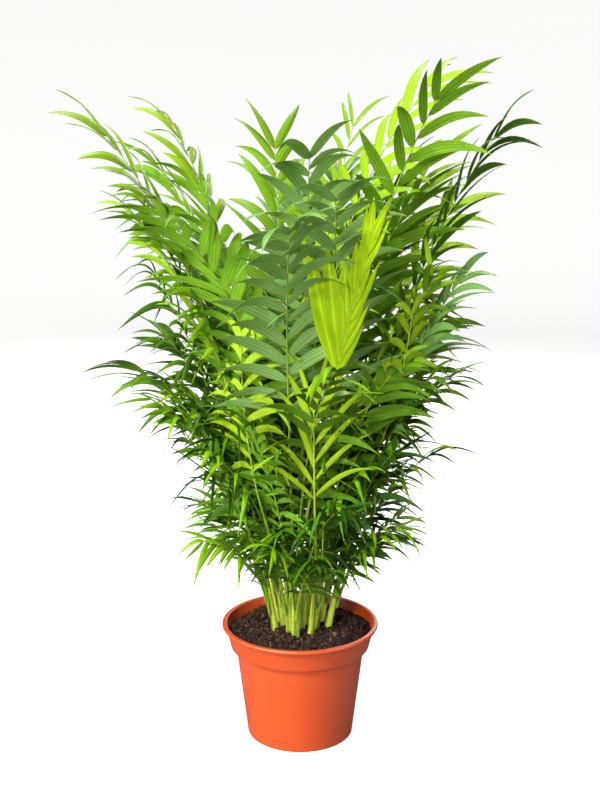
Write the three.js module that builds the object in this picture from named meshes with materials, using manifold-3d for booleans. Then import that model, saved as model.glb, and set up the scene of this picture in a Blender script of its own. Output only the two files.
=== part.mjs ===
// A parlour palm in a round nursery pot, in millimetres. +Z is up, and the origin is the middle of the pot's
// underside. Sixteen seedlings grow in one clump, each a short leaning stem with pinnate fronds on it. Every
// stem has a tall canopy frond and a middle frond, and the outer ones have a low skirt frond too.
import * as THREE from "three";
import { mergeVertices } from "three/addons/utils/BufferGeometryUtils.js";
import Module from "manifold-3d";

const wasm = await Module();
wasm.setup();

// Pot: a tapering tub with a tall banded collar and a rolled lip.
const POT_HEIGHT = 127;
const LIP_RADIUS = 85;
const BASE_RADIUS = 58;
const BODY_TOP_RADIUS = 70;
const COLLAR_BOTTOM_RADIUS = 75.5;
const COLLAR_TOP_RADIUS = 81;
const COLLAR_HEIGHT = 27;
const WALL = 1.6;
const FLOOR = 3;
const LIP_HEIGHT = 3.6;
const STEP_HEIGHT = 2.6;
const POT_SIDES = 40;
const POT_TURN = 2.7; // degrees, which keeps the facets' corners off the X and Y axes
const DRAIN_HOLES = 8;
const DRAIN_HOLE_RADIUS = 5;
const DRAIN_HOLE_RING = 44;
const DRAIN_HOLE_SIDES = 12;

// Soil: fills the pot to just under the lip, level in the middle and falling a little to the wall.
const SOIL_TOP = 119.5;
const SOIL_FALL = 2.5;
const SOIL_LEVEL_RADIUS = 52;
const CLEARANCE = 0.3;
const SLIVER = 0.02;

// Clump: stems stand on a sunflower spiral, lean outwards and are shorter towards the outside.
const STEMS = 16;
const CLUMP_RADIUS = 34;
const CLUMP_BACK = 6;
const GOLDEN_ANGLE = (137.508 * Math.PI) / 180;
const STEM_LEAN = 12;
const STEM_LENGTH = 112;
const STEM_LENGTH_LOSS = 34;
const STEM_LENGTH_SPREAD = 12;
const STEM_FOOT_RADIUS = 4.8;
const STEM_RADIUS = 3.9;
const STEM_TIP_RADIUS = 2.7;
const STEM_SUNK = 3;
const STEM_SIDES = 6;
const STEM_SHARES = [0, 0.1, 0.4, 0.7, 1];
const SEED = 48.73;

// Tiers of fronds. Lengths run along the rib. Slopes are degrees from the vertical, and a stem's lean adds to
// them. outerLoss is how much shorter the outermost frond is, rise the share of the stem where a frond sits,
// fan how far an inner frond may turn from its stem's own direction, and petiole the bare share of the rib.
const FRONDS = [
  { name: "canopy_frond", stems: 16, rise: 1, fan: 80, green: 0x6f9a2c,
    length: 475, outerLoss: 40, slopeFrom: 0, slopeTo: 40, bend: 2, petiole: 0.4, ribRadius: 2.1,
    pairs: 10, leaflet: 92, width: 17, droop: 0.22 },
  { name: "middle_frond", stems: 16, rise: 0.8, fan: 100, green: 0x4f8a25,
    length: 300, outerLoss: 30, slopeFrom: 3, slopeTo: 44, bend: 1.8, petiole: 0.34, ribRadius: 1.8,
    pairs: 9, leaflet: 72, width: 14, droop: 0.3 },
  { name: "skirt_frond", stems: 10, rise: 0.45, fan: 60, green: 0x3c7a20,
    length: 120, outerLoss: 0, slopeFrom: 8, slopeTo: 64, bend: 1.3, petiole: 0.34, ribRadius: 1.5,
    pairs: 7, leaflet: 44, width: 10, droop: 0.36 },
];
const LENGTH_SPREAD = 0.13;
const SLOPE_SPREAD = 12;
const SWEEP_SPREAD = 16;
const ROLL_SPREAD = 45;
const OUTER_FAN = 0.25;
const FROND_SETTLE = 0.5;
const DRAWS = { turn: 0, slope: 31, length: 57, sweep: 83, roll: 109 };
const FOOT_GAP = 0.35;
const RIB_TIP_RADIUS = 0.9;
const RIB_SIDES = 3;
const PETIOLE_STEPS = 4;
const PATH_STEPS = 60;

// Leaflets: the angles are degrees from the rib's own direction, at the first pair and at the last.
const LEAFLET_BELLY = 0.4;
const LEAFLET_THICKNESS = 1.3;
const LEAFLET_SINK = 0.7;
const LEAFLET_LIFT = 0.16;
const LEAFLET_STAGGER = 0.2;
const LAST_LEAFLET = 0.975;
const LEAFLET_ANGLES = [62, 24];
const END_LEAFLET_LENGTH = 0.55;
const END_LEAFLET_WIDTH = 0.75;
const FULLEST = [0.22, 0.84];

const POT_ORANGE = 0xe2602a;
const SOIL_BROWN = 0x2a1a13;
const STEM_GREEN = 0x9fae55;
const ROUGHNESS = { pot: 0.45, soil: 1, stem: 0.55, frond: 0.5 };

const { clamp, degToRad: radians, lerp, smoothstep } = THREE.MathUtils;

/** A repeatable number from -1 to 1 for item `n`. */
function vary(n) {
  const scaled = Math.sin(SEED + n * 12.9898) * 43758.5453;
  return 2 * (scaled - Math.floor(scaled)) - 1;
}

/** A closed three.js geometry as a solid, with its shared vertices merged. */
function solidFrom(geometry) {
  const bare = new THREE.BufferGeometry();
  bare.setAttribute("position", geometry.getAttribute("position"));
  bare.setIndex(geometry.getIndex());
  const merged = mergeVertices(bare, 1e-3);
  const vertProperties = merged.getAttribute("position").array;
  const triVerts = new Uint32Array(merged.getIndex().array);
  return new wasm.Manifold(new wasm.Mesh({ numProp: 3, vertProperties, triVerts }));
}

/** A solid as a three.js geometry with flat faces. */
function geometryFrom(solid) {
  const { vertProperties, triVerts } = solid.getMesh();
  const geometry = new THREE.BufferGeometry();
  geometry.setAttribute("position", new THREE.BufferAttribute(vertProperties, 3));
  geometry.setIndex(new THREE.BufferAttribute(triVerts, 1));
  const flat = geometry.toNonIndexed();
  flat.computeVertexNormals();
  return flat;
}

/** A named mesh in one plain material. */
function part(name, geometry, color, roughness) {
  const mesh = new THREE.Mesh(geometry, new THREE.MeshStandardMaterial({ color, roughness, metalness: 0 }));
  mesh.name = name;
  return mesh;
}

/** A solid of revolution about Z from [radius, height] points that run up the outside. */
function lathe(profile, sides) {
  const points = profile.map(([radius, height]) => new THREE.Vector2(radius, height));
  return new THREE.LatheGeometry(points, sides).rotateX(Math.PI / 2);
}

/** The pot's inner radius at a height, for the pot's wall and the soil that fills it. */
function innerRadius(height) {
  const collarBottom = POT_HEIGHT - COLLAR_HEIGHT;
  if (height > collarBottom) {
    const up = (height - collarBottom) / (COLLAR_HEIGHT - LIP_HEIGHT);
    return lerp(COLLAR_BOTTOM_RADIUS, COLLAR_TOP_RADIUS, up) - WALL;
  }
  return lerp(BASE_RADIUS, BODY_TOP_RADIUS, height / collarBottom) - WALL;
}

/** The pot: tub, collar and lip in one turned shell, with drain holes through its floor. */
function makePot() {
  const collarBottom = POT_HEIGHT - COLLAR_HEIGHT;
  const lipBottom = POT_HEIGHT - LIP_HEIGHT;
  const shell = solidFrom(lathe([
    [0, 0],
    [BASE_RADIUS - 1, 0],
    [BASE_RADIUS, 1.2],
    [BODY_TOP_RADIUS, collarBottom],
    [COLLAR_BOTTOM_RADIUS, collarBottom + 1],
    [COLLAR_TOP_RADIUS, lipBottom - 1],
    [LIP_RADIUS - 0.8, lipBottom],
    [LIP_RADIUS, lipBottom + LIP_HEIGHT / 2],
    [LIP_RADIUS - 1.2, POT_HEIGHT],
    [COLLAR_TOP_RADIUS - WALL + 1, POT_HEIGHT],
    [innerRadius(lipBottom), lipBottom],
    [innerRadius(collarBottom + STEP_HEIGHT), collarBottom + STEP_HEIGHT],
    [innerRadius(collarBottom), collarBottom - 1],
    [innerRadius(FLOOR), FLOOR],
    [0, FLOOR],
  ], POT_SIDES));
  const holes = Array.from({ length: DRAIN_HOLES }, (_, i) => {
    const angle = (i * 2 * Math.PI) / DRAIN_HOLES;
    const { x, y } = heading(Math.PI / 2, angle).multiplyScalar(DRAIN_HOLE_RING);
    const [radius, depth] = [DRAIN_HOLE_RADIUS, 4 * FLOOR];
    const drill = new THREE.CylinderGeometry(radius, radius, depth, DRAIN_HOLE_SIDES).rotateX(Math.PI / 2);
    return solidFrom(drill.translate(x, y, 0));
  });
  return shell.subtract(wasm.Manifold.union(holes)).rotate([0, 0, POT_TURN]);
}

/** The soil: a plug that fills the pot's inside, clear of its wall. */
function makeSoil() {
  const collarBottom = POT_HEIGHT - COLLAR_HEIGHT;
  const edgeTop = SOIL_TOP - SOIL_FALL;
  const fill = (height) => innerRadius(height) - 2 * CLEARANCE;
  return solidFrom(lathe([
    [0, FLOOR + CLEARANCE],
    [fill(FLOOR), FLOOR + CLEARANCE],
    [fill(collarBottom), collarBottom - 1],
    [fill(collarBottom + STEP_HEIGHT), collarBottom + STEP_HEIGHT + CLEARANCE],
    [fill(edgeTop), edgeTop],
    [SOIL_LEVEL_RADIUS, SOIL_TOP],
    [0, SOIL_TOP],
  ], POT_SIDES)).rotate([0, 0, POT_TURN]);
}

/** Unit direction at a slope from the vertical, towards an azimuth. */
function heading(slope, azimuth) {
  const out = Math.sin(slope);
  return new THREE.Vector3(out * Math.cos(azimuth), out * Math.sin(azimuth), Math.cos(slope));
}

/**
 * The line of a limb that sets out from `start` along `first` and bends over to its own heading as it grows.
 * It has a station at each of the given shares of its length, with a point, tangent, side and upper normal.
 */
function limbLine({ start, first, azimuth, sweep, roll, length, slopeFrom, slopeTo, bend, settle }, shares) {
  const line = [];
  const at = start.clone();
  for (let i = 0; i <= PATH_STEPS; i++) {
    const share = i / PATH_STEPS;
    const turn = azimuth + sweep * share;
    const own = heading(slopeFrom + (slopeTo - slopeFrom) * share ** bend, turn);
    const tangent = first.clone().lerp(own, smoothstep(share, 0, settle)).normalize();
    const side = new THREE.Vector3(-Math.sin(turn), Math.cos(turn), 0);
    side.addScaledVector(tangent, -side.dot(tangent)).normalize().applyAxisAngle(tangent, roll * share);
    if (shares.some((wanted) => Math.round(wanted * PATH_STEPS) === i)) {
      line.push({ share, point: at.clone(), tangent, side, normal: tangent.clone().cross(side) });
    }
    at.addScaledVector(tangent, length / PATH_STEPS);
  }
  return line;
}

/** The station at a share of a line's length, between the two stations on either side of it. */
function stationAt(line, share) {
  const next = Math.max(1, line.findIndex((station) => station.share >= share));
  const [low, high] = [line[next - 1], line[next]];
  const t = (share - low.share) / (high.share - low.share);
  const between = (key) => low[key].clone().lerp(high[key], t);
  return {
    point: between("point"),
    tangent: between("tangent").normalize(),
    side: between("side").normalize(),
    normal: between("normal").normalize(),
  };
}

/** A tapering tube along a line, from a cylinder whose rings are moved onto the stations. */
function tube(line, radiusAt, sides) {
  const steps = line.length - 1;
  const geometry = new THREE.CylinderGeometry(1, 1, steps, sides, steps, false, -Math.PI / 2);
  const position = geometry.getAttribute("position");
  for (let i = 0; i < position.count; i++) {
    const { share, point, side, normal } = line[Math.round(position.getY(i) + steps / 2)];
    const radius = radiusAt(share);
    const moved = point.clone();
    moved.addScaledVector(normal, position.getX(i) * radius);
    moved.addScaledVector(side, position.getZ(i) * radius);
    position.setXYZ(i, moved.x, moved.y, moved.z);
  }
  return solidFrom(geometry);
}

/** Where stem `i` stands, how far out in the clump it is, and which way it leans. */
function stemPlace(i) {
  const outness = Math.sqrt((i + 0.5) / STEMS);
  const azimuth = i * GOLDEN_ANGLE;
  const reach = CLUMP_RADIUS * outness;
  const foot = new THREE.Vector3(0, CLUMP_BACK, SOIL_TOP + CLEARANCE - STEM_SUNK);
  foot.addScaledVector(heading(Math.PI / 2, azimuth), reach);
  return { outness, azimuth, foot };
}

/** The line of stem `i`. */
function stemLine(i) {
  const { outness, azimuth, foot } = stemPlace(i);
  const lean = radians(STEM_LEAN * outness);
  const length = STEM_LENGTH - STEM_LENGTH_LOSS * outness + STEM_LENGTH_SPREAD * vary(i);
  const growth = { start: foot, first: heading(lean, azimuth), azimuth, sweep: 0, roll: 0, length };
  return limbLine({ ...growth, slopeFrom: lean, slopeTo: lean, bend: 1, settle: 1 }, STEM_SHARES);
}

/** A stem's radius at a share of its length: a taper with a flare at the foot. */
function stemRadius(share) {
  return share === 0 ? STEM_FOOT_RADIUS : lerp(STEM_RADIUS, STEM_TIP_RADIUS, share);
}

/** A stem: a tapering cane, cut flat where it meets the soil. */
function makeStem(i) {
  return tube(stemLine(i), stemRadius, STEM_SIDES).trimByPlane([0, 0, 1], SOIL_TOP + CLEARANCE);
}

/** The shares of a rib that have stations: evenly along the petiole, then at every other leaflet pair. */
function ribShares({ petiole, pairs }) {
  const bladeSteps = Math.floor(pairs / 2);
  const bare = Array.from({ length: PETIOLE_STEPS }, (_, k) => (petiole * k) / PETIOLE_STEPS);
  return [...bare, ...Array.from({ length: bladeSteps + 1 }, (_, k) => lerp(petiole, 1, k / bladeSteps))];
}

/** The line of the frond of one tier on stem `i`, from a point just clear of the stem. */
function frondLine(tier, tierIndex, i) {
  const { outness, azimuth } = stemPlace(i);
  const draw = (what) => vary(100 * (tierIndex + 1) + i + DRAWS[what]);
  const turned = azimuth + radians(tier.fan * lerp(1, OUTER_FAN, outness) * draw("turn"));
  const stem = stationAt(stemLine(i), tier.rise);
  const lean = radians(STEM_LEAN * outness);
  const slopeFrom = lean + radians(tier.slopeFrom);
  const slopeTo = lean / 2 + radians(tier.slopeTo + SLOPE_SPREAD * draw("slope"));
  const onTip = tier.rise === 1;
  const out = onTip ? stem.tangent : heading(Math.PI / 2, turned);
  const reach = onTip ? FOOT_GAP : FOOT_GAP + stemRadius(tier.rise) + tier.ribRadius / 2;
  const start = stem.point.clone().addScaledVector(out, reach);
  const first = onTip ? stem.tangent : heading(slopeFrom, turned);
  const length = (tier.length - tier.outerLoss * outness) * (1 + LENGTH_SPREAD * draw("length"));
  const sweep = radians(SWEEP_SPREAD * draw("sweep"));
  const roll = radians(ROLL_SPREAD * draw("roll"));
  const growth = { start, first, azimuth: turned, sweep, roll, length };
  return limbLine({ ...growth, slopeFrom, slopeTo, bend: tier.bend, settle: FROND_SETTLE }, ribShares(tier));
}

/** A leaflet: a blade with a flat upper face and a keel under it, from its root in the rib to its tip. */
function leaflet(tier, line, share, hand, along) {
  const { point, tangent, side, normal } = stationAt(line, share);
  const forward = radians(lerp(...LEAFLET_ANGLES, along));
  const across = side.clone().multiplyScalar(hand).addScaledVector(normal, LEAFLET_LIFT).normalize();
  const direction = across.multiplyScalar(Math.sin(forward)).addScaledVector(tangent, Math.cos(forward));
  const fullness = Math.sin(Math.PI * lerp(...FULLEST, along));
  const length = tier.leaflet * lerp(END_LEAFLET_LENGTH, 1, fullness);
  const half = (tier.width / 2) * lerp(END_LEAFLET_WIDTH, 1, fullness);
  const face = normal.clone().addScaledVector(direction, -normal.dot(direction)).normalize();
  const edge = face.clone().cross(direction);
  const fall = new THREE.Vector3(0, 0, -length * tier.droop);
  const lineAt = (u) => point.clone().addScaledVector(direction, length * u).addScaledVector(fall, u * u);
  const root = point.clone().addScaledVector(direction, -LEAFLET_SINK);
  const midline = [root, lineAt(LEAFLET_BELLY), lineAt(1)];
  const blade = new THREE.SphereGeometry(1, 3, 2);
  const position = blade.getAttribute("position");
  for (let i = 0; i < position.count; i++) {
    const [x, y, z] = [position.getX(i), position.getY(i), position.getZ(i)].map(Math.round);
    const moved = midline[y + 1].clone();
    moved.addScaledVector(edge, half * z).addScaledVector(face, LEAFLET_THICKNESS * Math.min(0, x));
    position.setXYZ(i, moved.x, moved.y, moved.z);
  }
  return solidFrom(blade);
}

/** Puts a solid on the list of what stands, with its box and the name of the piece that it belongs to. */
function stand(standing, owner, solid) {
  const { min, max } = solid.boundingBox();
  standing.push({ owner, solid, low: min, high: max });
}

/** Whether a solid keeps clear of every solid that stands already and belongs to another piece. */
function isClear(standing, owner, solid) {
  const { min, max } = solid.boundingBox();
  return standing.every((other) => {
    const beyond = (k) => min[k] > other.high[k] + CLEARANCE || max[k] < other.low[k] - CLEARANCE;
    if (other.owner === owner || [0, 1, 2].some(beyond)) return true;
    return other.solid.minGap(solid, CLEARANCE) >= CLEARANCE;
  });
}

/** The rib of a frond: a three-sided tube that thins towards its tip. */
function makeRib(tier, line) {
  return tube(line, (share) => lerp(tier.ribRadius, RIB_TIP_RADIUS, share), RIB_SIDES);
}

/** The leaflets of a frond, in pairs a little out of step, less those that would touch another piece. */
function makeLeaflets(standing, owner, tier, line) {
  const blades = [];
  for (let pair = 0; pair < tier.pairs; pair++) {
    const along = pair / (tier.pairs - 1);
    for (const hand of [-1, 1]) {
      const stagger = (LEAFLET_STAGGER * hand) / tier.pairs;
      const share = lerp(tier.petiole, 1, clamp(along + stagger, 0, LAST_LEAFLET));
      const blade = leaflet(tier, line, share, hand, along);
      if (isClear(standing, owner, blade)) blades.push(blade);
    }
  }
  return blades;
}

/** A piece's name from its kind and its number on the clump. */
function nameOf(kind, i) {
  return `${kind}_${String(i + 1).padStart(2, "0")}`;
}

/** Every frond's name, tier and line. A tier with too few fronds for all stems is on the outermost ones. */
function planFronds() {
  return FRONDS.flatMap((tier, tierIndex) => {
    const stems = Array.from({ length: tier.stems }, (_, k) => STEMS - tier.stems + k);
    return stems.map((i) => ({ name: nameOf(tier.name, i), tier, line: frondLine(tier, tierIndex, i) }));
  });
}

/** The whole palm: pot, soil and stems, then every rib, then the leaflets that find room between them. */
function makePalm() {
  const palm = new THREE.Group();
  const standing = [];
  const place = (name, solid, color, roughness) => {
    stand(standing, name, solid);
    palm.add(part(name, geometryFrom(solid), color, roughness));
  };
  place("pot", makePot(), POT_ORANGE, ROUGHNESS.pot);
  place("soil", makeSoil(), SOIL_BROWN, ROUGHNESS.soil);
  for (let i = 0; i < STEMS; i++) place(nameOf("stem", i), makeStem(i), STEM_GREEN, ROUGHNESS.stem);
  const fronds = planFronds().map((frond) => ({ ...frond, rib: makeRib(frond.tier, frond.line) }));
  for (const { name, rib } of fronds) stand(standing, name, rib);
  for (const { name, tier, line, rib } of fronds) {
    const blades = makeLeaflets(standing, name, tier, line);
    place(name, wasm.Manifold.union([rib, ...blades]).simplify(SLIVER), tier.green, ROUGHNESS.frond);
  }
  return palm;
}

export default makePalm();
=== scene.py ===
"""Looks for a potted parlour palm: pot, soil, canes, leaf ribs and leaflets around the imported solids.

Sizes of the plant are in millimetres, as in the solids' source, and become metres when a mesh is written.
Colours are linear RGB.
"""

import logging
import math
from collections.abc import Iterable
from dataclasses import dataclass, field, replace
from enum import IntEnum
from typing import Any

import bpy
import numpy as np
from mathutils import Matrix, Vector, noise

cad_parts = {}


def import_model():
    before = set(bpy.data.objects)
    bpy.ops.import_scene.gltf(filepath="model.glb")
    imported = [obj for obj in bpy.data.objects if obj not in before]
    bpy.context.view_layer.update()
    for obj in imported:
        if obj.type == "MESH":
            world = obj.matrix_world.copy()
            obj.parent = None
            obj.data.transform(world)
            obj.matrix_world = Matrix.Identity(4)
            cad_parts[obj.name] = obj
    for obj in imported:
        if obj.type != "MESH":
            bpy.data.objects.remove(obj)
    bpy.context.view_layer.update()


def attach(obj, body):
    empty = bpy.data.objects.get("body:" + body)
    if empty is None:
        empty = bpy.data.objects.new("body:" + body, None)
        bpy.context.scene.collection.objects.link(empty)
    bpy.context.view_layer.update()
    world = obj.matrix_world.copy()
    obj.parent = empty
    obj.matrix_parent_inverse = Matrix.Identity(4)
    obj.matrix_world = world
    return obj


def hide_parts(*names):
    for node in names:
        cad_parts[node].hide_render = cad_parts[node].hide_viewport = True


LOG = logging.getLogger("palm")
MM = 0.001
UP = np.array((0.0, 0.0, 1.0))
BODY = "root"
RGB = tuple[float, float, float]
XYZ = tuple[float, float, float]
Array = np.ndarray


def unit(vector: Array) -> Array:
    """The vector at length one."""
    return vector / np.linalg.norm(vector)


def lerp(a: Any, b: Any, t: Any) -> Any:
    """The value a share t of the way from a to b."""
    return a + (b - a) * t


def smoothstep(value: Any, low: float, high: float) -> Any:
    """A soft step from 0 at low to 1 at high."""
    t = np.clip((value - low) / (high - low), 0.0, 1.0)
    return t * t * (3 - 2 * t)


def turned(vector: Array, axis: Array, angle: float) -> Array:
    """The vector turned about a unit axis."""
    across, along = np.cross(axis, vector), axis * (axis @ vector)
    return vector * math.cos(angle) + across * math.sin(angle) + along * (1 - math.cos(angle))


def heading(slope: float, azimuth: float) -> Array:
    """Unit direction at a slope from the vertical, towards an azimuth."""
    out = math.sin(slope)
    return np.array((out * math.cos(azimuth), out * math.sin(azimuth), math.cos(slope)))


# ------------------------------------------------------------------------------------------
# Growth
# ------------------------------------------------------------------------------------------


@dataclass(frozen=True)
class Station:
    """A place on a limb: its point, the way that the limb runs, its side and its upper normal."""

    point: Array
    tangent: Array
    side: Array
    normal: Array


@dataclass(frozen=True)
class Line:
    """The line of a limb as stations at even shares of its length."""

    points: Array
    tangents: Array
    sides: Array

    def at(self, share: float) -> Station:
        """The station at a share of the length, between the two nearest ones."""
        place = min(max(share, 0.0), 1.0) * (len(self.points) - 1)
        low = min(int(place), len(self.points) - 2)
        t = place - low
        point = lerp(self.points[low], self.points[low + 1], t)
        tangent = unit(lerp(self.tangents[low], self.tangents[low + 1], t))
        side = lerp(self.sides[low], self.sides[low + 1], t)
        side = unit(side - tangent * (side @ tangent))
        return Station(point, tangent, side, np.cross(tangent, side))


@dataclass(frozen=True)
class Habit:
    """How one tier of fronds grows: where they sit, how they arch and what their leaflets are like.

    Lengths are millimetres and slopes are degrees from the vertical, to which a stem's lean is added.
    """

    name: str
    key: int
    stems: tuple[int, ...]
    rise: float
    fan: float
    length: float
    outer_loss: float
    slope_from: float
    slope_to: float
    bend: float
    petiole: float
    rib_radius: float
    pairs: int
    leaflet: float
    width: float
    droop: float
    angles: tuple[float, float] = (62.0, 24.0)
    end_length: float = 0.55
    fullest: tuple[float, float] = (0.22, 0.84)
    lift: float = 0.16
    fold: float = 0.2
    sickle: float = 0.08
    twist: float = 22.0
    curl: float = 0.0
    pleats: int = 0
    club: float = 1.0
    turn: float | None = None
    roll: float | None = None
    hands: tuple[int, ...] = (-1, 1)
    blade: tuple[float, float] = (0.0, 1.0)
    disorder: float = 1.0


class Draw(IntEnum):
    """What each of a frond's seeded numbers decides, as its place in the frond's row."""

    TURN = 0
    SLOPE = 31
    LENGTH = 57
    SWEEP = 83
    ROLL = 109


@dataclass(frozen=True)
class GrowthRule:
    """The seeded rule by which the clump's stems and fronds grow, the same as in the solids' source."""

    HASH_STEP = 12.9898
    HASH_SCALE = 43758.5453
    ROW_LENGTH = 100

    seed: float = 48.73
    stems: int = 16
    clump_radius: float = 34.0
    clump_back: float = 6.0
    golden_angle: float = math.radians(137.508)
    soil_top: float = 119.5
    clearance: float = 0.3
    stem_lean: float = 12.0
    stem_length: float = 112.0
    stem_length_loss: float = 34.0
    stem_length_spread: float = 12.0
    stem_foot_radius: float = 4.8
    stem_radius: float = 3.9
    stem_tip_radius: float = 2.7
    stem_sunk: float = 3.0
    length_spread: float = 0.13
    slope_spread: float = 12.0
    sweep_spread: float = 16.0
    roll_spread: float = 45.0
    outer_fan: float = 0.25
    settle: float = 0.5
    foot_gap: float = 0.35
    steps: int = 60

    def vary(self, n: float) -> float:
        """A repeatable number from -1 to 1 for item n."""
        scaled = math.sin(self.seed + n * self.HASH_STEP) * self.HASH_SCALE
        return 2 * (scaled - math.floor(scaled)) - 1

    def limb(self, start: Array, first: Array, azimuth: float, length: float, slopes: tuple[float, float],
             bend: float = 1.0, sweep: float = 0.0, roll: float = 0.0, settle: float = 1.0) -> Line:
        """The line of a limb that sets out along `first` and bends over to its own heading as it grows.

        Args:
            start: Where the limb starts.
            first: The unit direction in which it sets out.
            azimuth: The direction in plan that it heads for.
            length: Its length.
            slopes: Its slope from the vertical at its foot and at its tip, in radians.
            bend: The power with which the slope changes along it.
            sweep: How far its azimuth turns along it.
            roll: How far its side rolls about it along it.
            settle: The share of the length after which it follows its own heading.

        Returns:
            The line, with a station at each step.
        """
        points, tangents, sides = [], [], []
        at = start.copy()
        for i in range(self.steps + 1):
            share = i / self.steps
            turn = azimuth + sweep * share
            own = heading(slopes[0] + (slopes[1] - slopes[0]) * share**bend, turn)
            tangent = unit(lerp(first, own, float(smoothstep(share, 0.0, settle))))
            side = np.array((-math.sin(turn), math.cos(turn), 0.0))
            side = turned(unit(side - tangent * (side @ tangent)), tangent, roll * share)
            points.append(at.copy())
            tangents.append(tangent)
            sides.append(side)
            at = at + tangent * (length / self.steps)
        return Line(np.array(points), np.array(tangents), np.array(sides))

    def outness(self, i: int) -> float:
        """How far out in the clump stem i stands, from 0 to 1."""
        return math.sqrt((i + 0.5) / self.stems)

    def lean(self, i: int) -> float:
        """How far stem i leans from the vertical, in radians."""
        return math.radians(self.stem_lean * self.outness(i))

    def stem_line(self, i: int) -> Line:
        """The line of stem i, from a little under the soil."""
        azimuth = i * self.golden_angle
        foot = np.array((0.0, self.clump_back, self.soil_top + self.clearance - self.stem_sunk))
        foot += heading(math.pi / 2, azimuth) * self.clump_radius * self.outness(i)
        length = self.stem_length - self.stem_length_loss * self.outness(i)
        length += self.stem_length_spread * self.vary(i)
        lean = self.lean(i)
        return self.limb(foot, heading(lean, azimuth), azimuth, length, (lean, lean))

    def radius_on_stem(self, share: float) -> float:
        """A stem's radius at a share of its length."""
        return lerp(self.stem_radius, self.stem_tip_radius, share)

    def frond_line(self, habit: Habit, i: int) -> Line:
        """The line of the frond of one tier on stem i, from a point just clear of the stem.

        Args:
            habit: How the tier grows.
            i: The number of the stem.

        Returns:
            The line of the frond's rib.
        """
        def draw(what: Draw) -> float:
            return self.vary(self.ROW_LENGTH * (habit.key + 1) + i + what)

        out_share = self.outness(i)
        fan = habit.fan * lerp(1.0, self.outer_fan, out_share)
        azimuth = i * self.golden_angle + math.radians(fan * draw(Draw.TURN))
        if habit.turn is not None:
            azimuth = math.radians(habit.turn)
        stem = self.stem_line(i).at(habit.rise)
        lean = self.lean(i)
        slope_from = lean + math.radians(habit.slope_from)
        slope_to = lean / 2 + math.radians(habit.slope_to + self.slope_spread * draw(Draw.SLOPE))
        on_tip = habit.rise == 1
        out = stem.tangent if on_tip else heading(math.pi / 2, azimuth)
        reach = self.foot_gap
        if not on_tip:
            reach += self.radius_on_stem(habit.rise) + habit.rib_radius / 2
        first = stem.tangent if on_tip else heading(slope_from, azimuth)
        length = (habit.length - habit.outer_loss * out_share) * (1 + self.length_spread * draw(Draw.LENGTH))
        sweep = math.radians(self.sweep_spread * draw(Draw.SWEEP))
        roll = self.roll_spread * draw(Draw.ROLL) if habit.roll is None else habit.roll
        return self.limb(stem.point + out * reach, first, azimuth, length, (slope_from, slope_to), habit.bend,
                         sweep, math.radians(roll), self.settle)


# ------------------------------------------------------------------------------------------
# Mesh helpers
# ------------------------------------------------------------------------------------------


@dataclass
class MeshBuffer:
    """Collects closed tubes of rings as arrays, and writes them as one mesh."""

    verts: list[Array] = field(default_factory=list)
    loops: list[Array] = field(default_factory=list)
    sizes: list[Array] = field(default_factory=list)
    uvs: list[Array] = field(default_factory=list)
    shades: list[Array] = field(default_factory=list)
    sharp: list[Array] = field(default_factory=list)
    count: int = 0

    def add(self, verts: Array, faces: list[tuple[Array, Array]], shades: list[Array],
            sharp: Array | None = None) -> None:
        """Adds one closed shape.

        Args:
            verts: Its vertices in millimetres.
            faces: Pairs of vertex numbers and UVs, one for each group of faces of the same corner count.
            shades: The material number of each face, one array for each group.
            sharp: Pairs of vertex numbers, one pair for each sharp edge.
        """
        self.verts.append(verts)
        for (corners, uv), shade in zip(faces, shades):
            self.loops.append((corners + self.count).reshape(-1))
            self.sizes.append(np.full(len(corners), corners.shape[1], np.int32))
            self.uvs.append(uv.reshape(-1, 2))
            self.shades.append(shade)
        if sharp is not None:
            self.sharp.append(sharp + self.count)
        self.count += len(verts)

    @property
    def triangles(self) -> int:
        """How many triangles the mesh comes to."""
        return int(sum((s - 2).sum() for s in self.sizes))

    def write(self, name: str, materials: list[bpy.types.Material], smooth: bool = True) -> bpy.types.Object:
        """Writes the mesh as an object at the origin, in metres.

        Args:
            name: The object's name.
            materials: Its materials, in the order of the shade numbers.
            smooth: Whether its faces are shaded smooth.

        Returns:
            The new object.
        """
        mesh = bpy.data.meshes.new(name)
        verts = np.concatenate(self.verts) * MM
        loops = np.concatenate(self.loops).astype(np.int32)
        sizes = np.concatenate(self.sizes)
        mesh.vertices.add(len(verts))
        mesh.vertices.foreach_set("co", verts.astype(np.float32).ravel())
        mesh.loops.add(len(loops))
        mesh.loops.foreach_set("vertex_index", loops)
        mesh.polygons.add(len(sizes))
        mesh.polygons.foreach_set("loop_start", np.concatenate(([0], np.cumsum(sizes)[:-1])).astype(np.int32))
        mesh.polygons.foreach_set("material_index", np.concatenate(self.shades).astype(np.int32))
        mesh.update(calc_edges=True)
        layer = mesh.uv_layers.new(name="surface")
        layer.uv.foreach_set("vector", np.concatenate(self.uvs).astype(np.float32).ravel())
        mesh.polygons.foreach_set("use_smooth", np.full(len(sizes), smooth))
        if self.sharp:
            self._mark_sharp(mesh)
        for material in materials:
            mesh.materials.append(material)
        mesh.validate()
        return link(bpy.data.objects.new(name, mesh))

    def _mark_sharp(self, mesh: bpy.types.Mesh) -> None:
        """Marks the sharp edges that were asked for."""
        edges = np.empty(len(mesh.edges) * 2, np.int32)
        mesh.edges.foreach_get("vertices", edges)
        wanted = np.sort(np.concatenate(self.sharp), axis=1)
        key = np.sort(edges.reshape(-1, 2), axis=1) @ np.array((self.count, 1), np.int64)
        marks = np.isin(key, wanted @ np.array((self.count, 1), np.int64))
        attribute = mesh.attributes.new("sharp_edge", "BOOLEAN", "EDGE")
        attribute.data.foreach_set("value", marks)


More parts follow.
